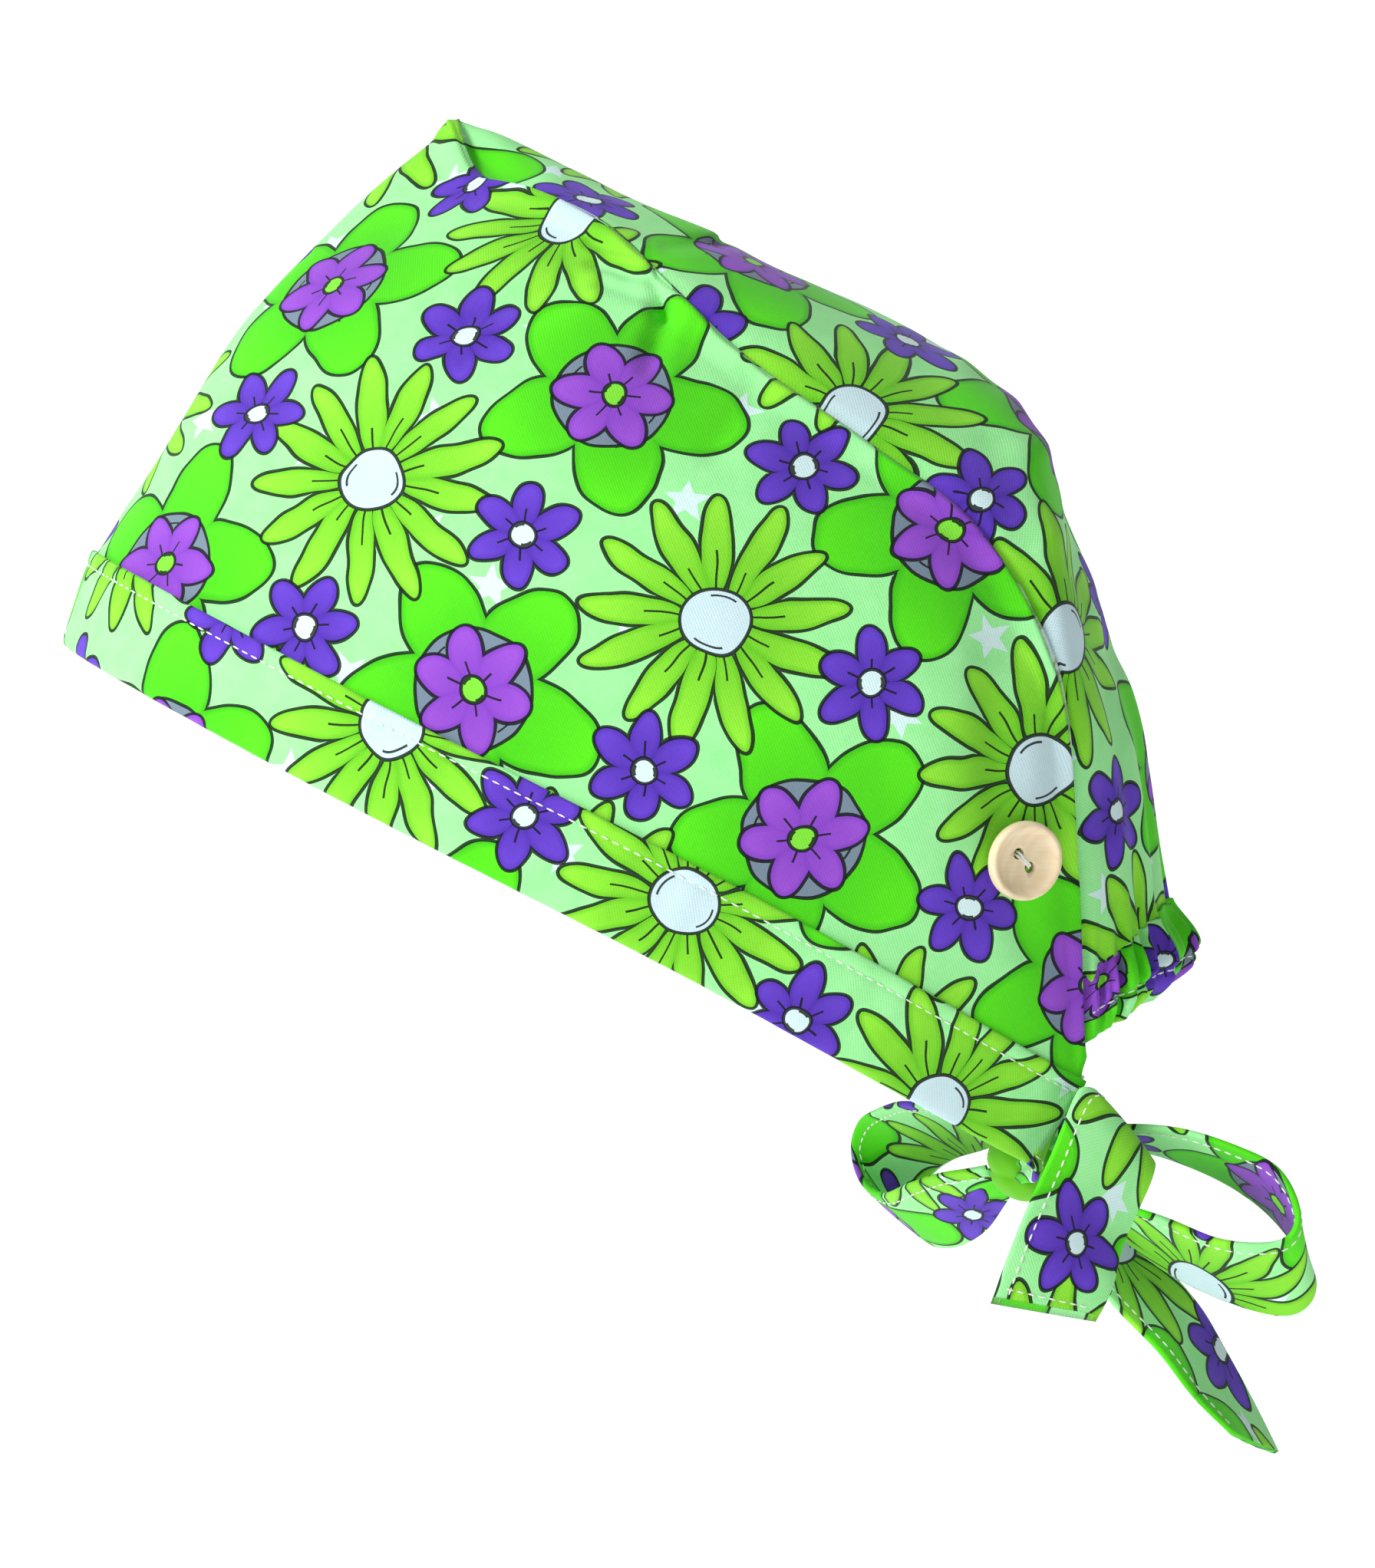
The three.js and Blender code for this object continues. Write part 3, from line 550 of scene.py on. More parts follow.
def face_away(shape: bmesh.types.BMesh, inside: Array) -> None:
    """Turns an open sheet's faces to look away from a point."""
    centre = Vector(inside)
    outward = 0.0
    shape.normal_update()
    for face in shape.faces:
        outward += face.normal.dot(face.calc_center_median() - centre) * face.calc_area()
    if outward < 0:
        bmesh.ops.reverse_faces(shape, faces=shape.faces)


def add_object(name: str, data: bpy.types.ID) -> bpy.types.Object:
    """Adds an object to the scene."""
    made = bpy.data.objects.new(name, data)
    bpy.context.scene.collection.objects.link(made)
    return made


def smooth_mesh(name: str, shape: bmesh.types.BMesh) -> bpy.types.Mesh:
    """Makes a smoothly shaded mesh of a shape, which is used up."""
    mesh = bpy.data.meshes.new(name)
    for face in shape.faces:
        face.smooth = True
    shape.to_mesh(mesh)
    shape.free()
    return mesh


def finished(name: str, shape: bmesh.types.BMesh, finishes: list) -> bpy.types.Object:
    """Makes an object of a shape, riding on the cap.

    Args:
        name: the piece's name.
        shape: its mesh, which is used up.
        finishes: its Blender materials.

    Returns:
        The object.
    """
    mesh = smooth_mesh(name, shape)
    for finish in finishes:
        mesh.materials.append(finish)
    piece = add_object(name, mesh)
    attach(piece, "root")
    LOG.info("%s: %d faces", name, len(mesh.polygons))
    return piece


def thicken(piece: bpy.types.Object, thickness: float) -> None:
    """Gives a sheet its thickness, inwards from its outer face, and its wrong side."""
    wall = piece.modifiers.new("Thickness", "SOLIDIFY")
    wall.thickness = thickness
    wall.offset = -1
    wall.use_even_offset = True
    wall.thickness_clamp = 1.0
    wall.material_offset = 1


def close_ends(shape: bmesh.types.BMesh, close: float) -> list:
    """Merges a tube's doubled points and closes its open ends.

    Args:
        shape: the tube.
        close: the distance under which points are merged.

    Returns:
        The faces that close it.
    """
    bmesh.ops.remove_doubles(shape, verts=shape.verts, dist=close)
    rim = [edge for edge in shape.edges if edge.is_boundary]
    return bmesh.ops.holes_fill(shape, edges=rim, sides=0)["faces"]


def stitch_row(shape: bmesh.types.BMesh, path: Array, up: Array, pitch: float) -> None:
    """Adds a row of stitches along a path.

    Args:
        shape: the mesh that takes the stitches.
        path: the points that the thread follows on the cloth.
        up: the direction out of the cloth at each point.
        pitch: the distance from stitch to stitch.
    """
    known = travelled(path)
    half = STITCH_LENGTH / 2 * pitch
    for number in range(int(known[-1] / pitch)):
        middle = (number + 0.5) * pitch
        start, end = (read_along(middle + way, known, path) for way in (-half, half))
        along = Vector(end - start).normalized()
        side = Vector(read_along(middle, known, up)).cross(along).normalized()
        size = Matrix.Diagonal((half, THREAD_HALF_WIDTH, THREAD_HALF_HEIGHT))
        turn = Matrix((along, side, along.cross(side))).transposed()
        place = Matrix.Translation(Vector((start + end) / 2)) @ (turn @ size).to_4x4()
        bmesh.ops.create_icosphere(shape, subdivisions=2, radius=1, matrix=place)


class Term:
    """A value that changes over a surface: a node's output, joined to others by arithmetic."""

    def __init__(self, tree: bpy.types.NodeTree, socket: bpy.types.NodeSocket) -> None:
        """Keeps the output and the tree that it belongs to."""
        self.tree = tree
        self.socket = socket

    def math(self, operation: str, *others: "Term | float") -> "Term":
        """Passes this value and others through a Math node."""
        node = self.tree.nodes.new("ShaderNodeMath")
        node.operation = operation
        self.tree.links.new(self.socket, node.inputs[0])
        for number, other in enumerate(others, 1):
            feed(self.tree, node.inputs[number], other)
        return Term(self.tree, node.outputs[0])

    def __add__(self, other: "Term | float") -> "Term":
        """The sum."""
        return self.math("ADD", other)

    def __sub__(self, other: "Term | float") -> "Term":
        """The difference."""
        return self.math("SUBTRACT", other)

    def __mul__(self, other: "Term | float") -> "Term":
        """The product."""
        return self.math("MULTIPLY", other)

    def __truediv__(self, other: "Term | float") -> "Term":
        """The quotient."""
        return self.math("DIVIDE", other)

    def vector(self, operation: str, other: object = (0.0, 0.0, 0.0)) -> "Term":
        """Passes this vector and another, or a scale, through a Vector Math node."""
        node = self.tree.nodes.new("ShaderNodeVectorMath")
        node.operation = operation
        self.tree.links.new(self.socket, node.inputs[0])
        feed(self.tree, node.inputs[3 if operation == "SCALE" else 1], other)
        return Term(self.tree, node.outputs[1 if operation == "LENGTH" else 0])

    def parts(self) -> dict:
        """The vector's three numbers."""
        return call(self.tree, "ShaderNodeSeparateXYZ", {0: self})

    def below(self, limit: "Term | float") -> "Term":
        """1 where the value is under a limit, and 0 elsewhere."""
        return self.math("LESS_THAN", limit)

    def above(self, limit: "Term | float") -> "Term":
        """1 where the value is over a limit, and 0 elsewhere."""
        return self.math("GREATER_THAN", limit)

    def flip(self) -> "Term":
        """1 minus the value."""
        return (self * -1.0) + 1.0


def feed(tree: bpy.types.NodeTree, socket: bpy.types.NodeSocket, value: object) -> None:
    """Links a term to a socket, or sets a plain value on it."""
    if isinstance(value, Term):
        tree.links.new(value.socket, socket)
    else:
        socket.default_value = value


def call(tree: bpy.types.NodeTree, kind: str, inputs: dict, **settings: object) -> dict:
    """Adds a node.

    Args:
        tree: the tree that takes it.
        kind: the node's type, or the name of a node group.
        inputs: what feeds its sockets, by name or number.
        settings: the node's own settings.

    Returns:
        Its outputs as terms, by name and by number.
    """
    if kind in bpy.data.node_groups:
        node = tree.nodes.new("ShaderNodeGroup")
        node.node_tree = bpy.data.node_groups[kind]
    else:
        node = tree.nodes.new(kind)
    for name, value in settings.items():
        setattr(node, name, value)
    for name, value in inputs.items():
        feed(tree, node.inputs[name], value)
    found = {number: Term(tree, socket) for number, socket in enumerate(node.outputs)}
    found.update({socket.name: Term(tree, socket) for socket in node.outputs if socket.enabled})
    return found


def blend(tree: bpy.types.NodeTree, mask: Term | float, first: object, second: object) -> Term:
    """One colour over another: the second where the mask is 1."""
    mixed = call(tree, "ShaderNodeMix", {0: mask, 6: first, 7: second}, data_type="RGBA")
    return mixed[2]


def bump(tree: bpy.types.NodeTree, height: Term, strength: float, distance: float,
         **normal: Term) -> Term:
    """The normal of a surface that a height roughens."""
    return call(tree, "ShaderNodeBump", {"Strength": strength, "Distance": distance,
                                         "Height": height, **normal})[0]


def new_material(name: str) -> tuple[bpy.types.Material, bpy.types.NodeTree, dict]:
    """Starts a material: itself, its nodes and its shader's sockets."""
    material = bpy.data.materials.new(name)
    material.use_nodes = True
    tree = material.node_tree
    return material, tree, tree.nodes["Principled BSDF"].inputs


def new_group(name: str, inputs: dict, outputs: dict) -> tuple[bpy.types.NodeTree, dict]:
    """Starts a shader node group.

    Args:
        name: its name.
        inputs: its inputs' socket types, by name.
        outputs: its outputs' socket types, by name.

    Returns:
        The group, and its inputs as terms by name.
    """
    tree = bpy.data.node_groups.new(name, "ShaderNodeTree")
    for title, kind in inputs.items():
        tree.interface.new_socket(title, in_out="INPUT", socket_type=kind)
    for title, kind in outputs.items():
        tree.interface.new_socket(title, in_out="OUTPUT", socket_type=kind)
    given = tree.nodes.new("NodeGroupInput")
    return tree, {socket.name: Term(tree, socket) for socket in given.outputs if socket.name}


def give(tree: bpy.types.NodeTree, results: dict) -> None:
    """Joins a group's results to its outputs, by name."""
    end = tree.nodes.new("NodeGroupOutput")
    for name, value in results.items():
        feed(tree, end.inputs[name], value)


# The print's ground and its stars, in millimetres on the cloth, and how far its lines wander.
GROUND_DARK = 0x8FEE90
GROUND_LIGHT = 0xACFAAC
STAR_PALE = 0xD6F4F0
STAR_PERIOD = 31.0
STAR_DRIFT = 17.0
STAR_REACH = 5.4
STARS_LEFT_OUT = 0.2
HAND_DRAWN = 3.5
FLOAT = "NodeSocketFloat"
VECTOR = "NodeSocketVector"
COLOUR = "NodeSocketColor"


def colour(code: int) -> tuple[float, float, float, float]:
    """A colour of the cloth or wood from its screen code, as linear light."""
    shares = [((code >> shift) & 255) / 255 for shift in (16, 8, 0)]
    light = [s / 12.92 if s <= 0.04045 else ((s + 0.055) / 1.055) ** 2.4 for s in shares]
    return (*light, 1.0)


def polar(given: dict) -> tuple[Term, Term]:
    """How far a place is from the middle of its motif, and its angle round it."""
    parts = given["Place"].parts()
    return given["Place"].vector("LENGTH"), parts[1].math("ARCTAN2", parts[0]) + given["Turn"]


class PrintGroups:
    """The node groups that draw the cloth's print, in millimetres on the flat cloth."""

    @staticmethod
    def scatter() -> None:
        """One motif in each square of the cloth, a little out of its middle, each one turned."""
        tree, given = new_group(
            "Scatter",
            {"Cloth": VECTOR, "Period": FLOAT, "Drift": FLOAT, "Shift": VECTOR},
            {"Place": VECTOR, "Turn": FLOAT, "Chance": FLOAT},
        )
        parts = given["Cloth"].vector("SUBTRACT", given["Shift"]).parts()
        cells = [(parts[axis] / given["Period"]).math("FLOOR") for axis in (0, 1)]
        cell = call(tree, "ShaderNodeCombineXYZ", {0: cells[0], 1: cells[1], 2: 3.0})[0]
        chance = call(tree, "ShaderNodeTexWhiteNoise", {"Vector": cell}, noise_dimensions="3D")
        picks = call(tree, "ShaderNodeSeparateColor", {0: chance["Color"]})
        local = []
        for axis in (0, 1):
            middle = (cells[axis] + 0.5) * given["Period"]
            drift = (picks[axis] - 0.5) * given["Drift"]
            local.append(parts[axis] - middle - drift)
        place = call(tree, "ShaderNodeCombineXYZ", {0: local[0], 1: local[1], 2: 0.0})[0]
        give(tree, {"Place": place, "Turn": picks[2] * (2 * math.pi), "Chance": chance["Value"]})

    @staticmethod
    def petals() -> None:
        """A flower of oval petals round a disc, with its ink lines."""
        tree, given = new_group(
            "Petals",
            {"Place": VECTOR, "Turn": FLOAT, "Petals": FLOAT, "Middle": FLOAT, "Reach": FLOAT,
             "Breadth": FLOAT, "Heart": FLOAT, "Line": FLOAT, "Uneven": FLOAT},
            {"Petal": FLOAT, "Heart": FLOAT, "Ink": FLOAT, "Shade": FLOAT, "Rim": FLOAT},
        )
        radius, angle = polar(given)
        turns = angle * given["Petals"] / (2 * math.pi)
        number = turns.math("FLOOR").math("FLOORED_MODULO", given["Petals"])
        spread = (turns.math("FRACT") - 0.5) * (2 * math.pi) / given["Petals"]
        wobble = (number * 2.4 + given["Turn"]).math("SINE") * given["Uneven"]
        along = radius * spread.math("COSINE")
        across = radius * spread.math("SINE") + wobble * 0.5
        reach = given["Reach"] + wobble
        x = (along - given["Middle"]) / reach
        y = across / given["Breadth"]
        level = x * x + y * y
        slope_x, slope_y = x / reach, y / given["Breadth"]
        slope = (slope_x * slope_x + slope_y * slope_y).math("SQRT") * 2.0 + 0.001
        away = (level - 1.0) / slope
        petal = away.below(0.0)
        heart = radius.below(given["Heart"])
        outline = away.math("ABSOLUTE").below(given["Line"])
        vein = across.math("ABSOLUTE").below(given["Line"] * 0.6)
        vein = vein * (x + wobble * 0.15).below(-0.25) * petal
        ring = (radius - given["Heart"]).math("ABSOLUTE").below(given["Line"])
        arc = (radius - given["Heart"] * 0.8).math("ABSOLUTE").below(given["Line"] * 0.6)
        arc = arc * (angle * 2.0).math("COSINE").above(0.55)
        ink = outline.math("MAXIMUM", vein) * heart.flip()
        ink = ink.math("MAXIMUM", ring).math("MAXIMUM", arc)
        rim = (away * 0.45 + 1.0).math("MAXIMUM", 0.0) * petal * heart.flip()
        give(tree, {"Petal": petal, "Heart": heart, "Ink": ink, "Shade": x, "Rim": rim})

    @staticmethod
    def star() -> None:
        """A five-pointed star."""
        tree, given = new_group(
            "Star", {"Place": VECTOR, "Turn": FLOAT, "Reach": FLOAT}, {"Star": FLOAT}
        )
        radius, angle = polar(given)
        spread = ((angle * 5.0 / (2 * math.pi)).math("FRACT") - 0.5) * (2 * math.pi / 5)
        along = radius * spread.math("COSINE")
        across = (radius * spread.math("SINE")).math("ABSOLUTE")
        give(tree, {"Star": (along + across * 2.6).below(given["Reach"])})

    @staticmethod
    def weave() -> None:
        """The crossing threads of a plain weave, with thicker ones, as a height."""
        tree, given = new_group("Weave", {"Cloth": VECTOR, "Pitch": FLOAT}, {"Height": FLOAT})
        parts = given["Cloth"].parts()
        waves = [(parts[axis] / given["Pitch"] * math.pi).math("SINE") for axis in (0, 1)]
        thick = call(tree, "ShaderNodeTexNoise", {"Vector": given["Cloth"], "Scale": 1.1,
                                                  "Detail": 2.0})[0]
        give(tree, {"Height": (waves[0] * waves[1]) * 0.5 + thick * 0.7})

    @classmethod
    def build(cls) -> None:
        """Builds the groups that the print is made of, and the print itself."""
        cls.scatter()
        cls.petals()
        cls.star()
        cls.weave()
        cls.printed()

    @staticmethod
    def printed() -> None:
        """The whole print: stars, leaf rosettes, daisies and violets on a mint ground."""
        tree, given = new_group("Print", {"Cloth": VECTOR}, {"Colour": COLOUR, "Ink": FLOAT})
        hand = call(tree, "ShaderNodeTexNoise", {"Vector": given["Cloth"], "Scale": 0.07,
                                                 "Detail": 1.0})["Color"]
        drawn = hand.vector("SUBTRACT", (0.5, 0.5, 0.5)).vector("SCALE", HAND_DRAWN)
        cloth = given["Cloth"].vector("ADD", drawn)
        turned = call(tree, "ShaderNodeVectorRotate", {"Vector": cloth, "Angle": math.radians(45)},
                      rotation_type="Z_AXIS")[0]
        mottle = call(tree, "ShaderNodeTexNoise", {"Vector": cloth, "Scale": 0.16,
                                                   "Detail": 3.0})[0]
        result = blend(tree, mottle, colour(GROUND_DARK), colour(GROUND_LIGHT))
        spot = call(tree, "Scatter", {"Cloth": cloth, "Period": STAR_PERIOD,
                                      "Drift": STAR_DRIFT, "Shift": (7.0, 3.0, 0.0)})
        star = call(tree, "Star", {"Place": spot["Place"], "Turn": spot["Turn"],
                                   "Reach": STAR_REACH})
        shown = star["Star"] * spot["Chance"].above(STARS_LEFT_OUT)
        result = blend(tree, shown, result, colour(STAR_PALE))
        total_ink = None
        for motif in MOTIFS:
            base = turned if motif.on_diagonal else cloth
            spot = call(tree, "Scatter", {"Cloth": base, "Period": motif.period,
                                          "Drift": motif.drift,
                                          "Shift": (motif.shift, motif.shift, 0.0)})
            flower = call(tree, "Petals", {
                "Place": spot["Place"], "Turn": spot["Turn"] + motif.turn,
                "Petals": float(motif.petals), "Middle": motif.middle, "Reach": motif.reach,
                "Breadth": motif.breadth, "Heart": motif.heart, "Line": motif.line,
                "Uneven": motif.uneven,
            })
            depth = call(tree, "ShaderNodeMapRange", {0: flower["Shade"], 1: -1.0, 2: 0.75})[0]
            tone = blend(tree, depth, colour(motif.deep), colour(motif.bright))
            tone = blend(tree, mottle * 0.5, tone, colour(motif.bright))
            tone = blend(tree, flower["Rim"] * 0.75, tone, colour(motif.deep))
            result = blend(tree, flower["Petal"], result, tone)
            result = blend(tree, flower["Heart"], result, colour(motif.middle_colour))
            result = blend(tree, flower["Ink"] * 0.95, result, colour(motif.ink))
            ink = flower["Ink"]
            total_ink = ink if total_ink is None else total_ink.math("MAXIMUM", ink)
        give(tree, {"Colour": result, "Ink": total_ink})


@dataclass(frozen=True)
class Motif:
    """One flower of the print. Lengths are millimetres on the flat cloth.

    middle and reach are the place and half length of a petal, and breadth its half width.
    """

    petals: int
    middle: float
    reach: float
    breadth: float
    heart: float
    deep: int
    bright: int
    middle_colour: int
    period: float = 80.0
    drift: float = 9.0
    shift: float = 0.0
    turn: float = 0.0
    on_diagonal: bool = False
    line: float = 0.40
    uneven: float = 0.9
    ink: int = 0x070B0B


MOTIFS = (
    Motif(5, 16.0, 14.8, 9.8, 13.5, 0x33B00C, 0x58E614, 0x76899A, shift=40.0, drift=6.0),
    Motif(6, 7.6, 6.6, 4.2, 2.8, 0x7A38BC, 0x9A50D2, 0x7FE03A, shift=40.0, drift=6.0, turn=0.4,
          uneven=0.4),
    Motif(13, 17.6, 12.4, 3.5, 7.6, 0x5ABC16, 0x92EA38, 0xCBE6EC),
    Motif(6, 7.2, 5.6, 3.6, 2.9, 0x4A27A6, 0x6840CE, 0xD8F2F4, period=80.0 / math.sqrt(2),
          drift=8.0, on_diagonal=True, uneven=0.35),
)


@dataclass(frozen=True)
class Cotton:
    """Printed plain-weave cotton, on the piece's own UV map, with painted shade between its
    threads.
    """

    name: str
    fade: float
    roughness: float = 0.88
    thread: float = 0.42
    washed: int = 0xDDF3DC
    # between: the dark colour of the painted shade in the hollows between the threads.
    between: int = 0x26401E

    def build(self) -> bpy.types.Material:
        """Makes the material.

        Returns:
            The Blender material.
        """
        material, tree, sockets = new_material(self.name)
        cloth = call(tree, "ShaderNodeUVMap", {}, uv_map="Cloth")[0]
        measured = cloth.vector("SCALE", 1 / MM)
        drawn = call(tree, "Print", {"Cloth": measured})
        faded = blend(tree, self.fade, drawn["Colour"], colour(self.washed))
        weave = call(tree, "Weave", {"Cloth": measured, "Pitch": self.thread})["Height"]
        # Painted shade: the colour darkens towards between where the weave sinks between the
        # threads.
        shaded = blend(tree, (weave * 0.10).flip(), colour(self.between), faded)
        feed(tree, sockets["Base Color"], shaded)
        feed(tree, sockets["Roughness"], weave * 0.08 + (self.roughness - 0.04))
        threads = bump(tree, weave, 0.45, 0.00012)
        place = call(tree, "ShaderNodeTexCoord", {})["Object"]
        dents = call(tree, "ShaderNodeTexNoise", {"Vector": place, "Scale": 55.0, "Detail": 3.0,
                                                  "Roughness": 0.55})[0]
        feed(tree, sockets["Normal"], bump(tree, dents, 0.5, 0.0007, Normal=threads))
        sockets["Specular IOR Level"].default_value = 0.22
        sockets["Sheen Weight"].default_value = 0.12
        sockets["Sheen Roughness"].default_value = 0.5
        return material


@dataclass(frozen=True)
class Wood:
    """Pale sanded wood with fine grain."""

    name: str = "button_wood"
    pale: int = 0xF6E8CB
    dark: int = 0xE2C795

    def build(self) -> bpy.types.Material:
        """Makes the material.

        Returns:
            The Blender material.
        """
        material, tree, sockets = new_material(self.name)
        place = call(tree, "ShaderNodeTexCoord", {})["Object"]
        laid = call(tree, "ShaderNodeMapping", {"Vector": place, "Rotation": (0.3, 0.0, 0.2),
                                                "Scale": (160.0, 160.0, 1500.0)})[0]
        grain = call(tree, "ShaderNodeTexNoise", {"Vector": laid, "Scale": 1.0, "Detail": 4.0})[0]
        rings = call(tree, "ShaderNodeTexWave", {"Vector": place, "Scale": 190.0,
                                                 "Distortion": 5.0, "Detail": 2.0})["Fac"]
        tone = blend(tree, grain * 0.75 + rings * 0.25, colour(self.dark), colour(self.pale))
        feed(tree, sockets["Base Color"], tone)
        feed(tree, sockets["Roughness"], grain * 0.2 + 0.4)
        feed(tree, sockets["Normal"], bump(tree, grain, 0.3, 0.0001))
        return material


@dataclass(frozen=True)
class Thread:
    """Twisted white sewing thread."""

    name: str = "white_thread"
    pale: int = 0xFBFCF6
    shade: int = 0xD5DCCB

    def build(self) -> bpy.types.Material:
        """Makes the material.

        Returns:
            The Blender material.
        """
        material, tree, sockets = new_material(self.name)
        place = call(tree, "ShaderNodeTexCoord", {})["Object"]
        waves = {"Vector": place, "Scale": 900.0, "Distortion": 1.0}
        twist = call(tree, "ShaderNodeTexWave", waves, bands_direction="DIAGONAL")["Fac"]
        tone = blend(tree, twist, colour(self.shade), colour(self.pale))
        feed(tree, sockets["Base Color"], tone)
        feed(tree, sockets["Roughness"], twist * 0.1 + 0.65)
        feed(tree, sockets["Normal"], bump(tree, twist, 0.4, 0.0001))
        return material


@dataclass(frozen=True)
class Finishes:
    """The Blender materials of the cap."""

    cotton: bpy.types.Material
    wrong_side: bpy.types.Material
    wood: bpy.types.Material
    thread: bpy.types.Material

    @property
    def cloth(self) -> list:
        """The right and the wrong side of the cloth."""
        return [self.cotton, self.wrong_side]


def from_edge(points: Array, axis: int, last: bool) -> Array:
    """How far each point of a grid is from one edge, along the cloth.

    Args:
        points: the grid.
        axis: 0 for the first or last row, 1 for the first or last column.
        last: whether the edge is the last one.

    Returns:
        A grid of distances.
    """
    ordered = np.flip(points, axis) if last else points
    steps = np.linalg.norm(np.diff(ordered, axis=axis), axis=-1)
    travelled = np.cumsum(steps, axis=axis)
    start = np.zeros_like(np.take(travelled, [0], axis=axis))
    travelled = np.concatenate([start, travelled], axis=axis)
    return np.flip(travelled, axis) if last else travelled


@dataclass
class Cuff:
    """The folded band round the head, lapped over the wrap panel and topstitched."""

    shape: CapShape
    finishes: Finishes
    layer: float = 0.0005
    unevenness: float = 0.00018
    stitch_in: float = 0.0021
    stitch_out: float = 0.00075
    stitch_pitch: float = 0.0027
    columns: int = 420
    cut: Cut = Cut(8.0, 0.43, 0.31)
    # The band's section, from its hidden edge over the top and round the fold.
    # down: millimetres below the seam. out: millimetres out from it.
    section: dict = field(default_factory=lambda: {
        "down": (4.0, 1.5, -0.6, -1.4, -1.6, -1.0, 0.6, 1.5, 2.1, 2.7, 3.8, 6, 9, 12, 15, 18,
                 20, 21.2, 21.8, 22, 21.8, 21.1, 20, 17, 13, 9, 5, 1, -2),
        "out": (-0.3, -0.3, -0.2, 0.1, 0.5, 0.9, 1.0, 0.85, 0.6, 0.85, 1.0, 1.0, 1.0, 1.0, 1.0,
                1.0, 0.9, 0.6, 0.2, -0.3, -0.8, -1.2, -1.4, -1.5, -1.5, -1.5, -1.5, -1.5, -1.5),
    })

    def points(self, u: Array, down: Array, out: Array) -> Array:
        """Points of the band, by their place on its section."""
        along, outward = self.shape.cuff_axes(u)
        return self.shape.cuff_seam(u) + along * down[..., None] + outward * out[..., None]

    def build(self) -> bpy.types.Object:
        """Makes the band and its stitches.

        Returns:
            The band.
        """
        down = np.array(self.section["down"]) * MM
        out = np.array(self.section["out"]) * MM
        u = np.linspace(-1, 1, self.columns)
        wide, low = np.meshgrid(u, down)
        points = self.points(wide, low, np.broadcast_to(out[:, None], low.shape))
        gap = np.sin(wide * 173) * np.sin(wide * 61 + 1) * self.unevenness
        points += self.shape.cuff_axes(wide)[1] * gap[..., None]
        seam = self.shape.cuff_seam(u)
        drop = travelled(np.stack([down, out], axis=-1))
        shape = grid_shape(points, self.cut.place(laid_flat(travelled(seam), -drop)))
        outer = self.points(np.array([0.0]), np.array([0.01]), np.array([0.001]))[0]
        nearest = min(shape.faces, key=lambda face: (face.calc_center_median()
                                                     - Vector(outer)).length)
        shape.normal_update()
        if nearest.normal.dot(Vector(outer - self.shape.inside)) < 0:
            bmesh.ops.reverse_faces(shape, faces=shape.faces)
        band = finished("cuff_band", shape, self.finishes.cloth)
        thicken(band, self.layer)
        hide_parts("cuff")
        self.stitch()
        return band

    def stitch(self) -> None:
        """Makes the row of topstitching below the band's upper edge."""
        u = np.linspace(-0.995, 0.995, 1600)
        down = np.full_like(u, self.stitch_in)
        path = self.points(u, down, np.full_like(u, self.stitch_out))
        shape = bmesh.new()
        stitch_row(shape, path, self.shape.cuff_axes(u)[1], self.stitch_pitch)
        finished("cuff_stitching", shape, [self.finishes.thread])


@dataclass
class WrapPanel:
    """The panel that goes round the head from the forehead to both sides."""

    shape: CapShape
    finishes: Finishes
    cloth: float = 0.0009
    ridge: float = 0.0022
    ridge_roll: float = 0.0022
    ridge_width: float = 0.0085
    dents: tuple = ((0.034, 0.0011, 4.0), (0.013, 0.00028, 9.0))
    rows: int = 112
    columns: int = 380
    cut: Cut = Cut(-6.0, 0.118, 0.082)

    @staticmethod
    def grid(rows: int, columns: int) -> list[Array]:
        """Places on the panel, in rows that draw closer together towards the crown's seam."""
        height = 1 - (1 - np.linspace(0, 1, rows)) ** 1.2
        return np.meshgrid(np.linspace(-1, 1, columns), height)

    def build(self) -> bpy.types.Object:
        """Makes the panel.

        Returns:
            The panel.
        """
        wide, high = self.grid(self.rows, self.columns)
        points = self.shape.wrap(wide, high, WRAP_CREASES)
        normals = surface_normals(points, self.shape.inside)
        to_seam = from_edge(points, 0, True)
        to_cuff = from_edge(points, 0, False)
        rise = ease(to_seam / self.ridge_roll) * ease(1 - to_seam / self.ridge_width)
        rise = self.ridge * rise
        quiet = ease(to_cuff / 0.02) * ease(to_seam / 0.012)
        rise = rise + quiet * crumple(points, self.dents)
        points = points + normals * rise[..., None]
        flat = finer(flatten(self.shape.wrap(*self.grid(15, 61))), self.rows, self.columns)
        shape = grid_shape(points, self.cut.place(flat))
        face_away(shape, self.shape.inside)
        panel = finished("wrap_cloth", shape, self.finishes.cloth)
        thicken(panel, self.cloth)
        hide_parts("wrap_panel")
        return panel


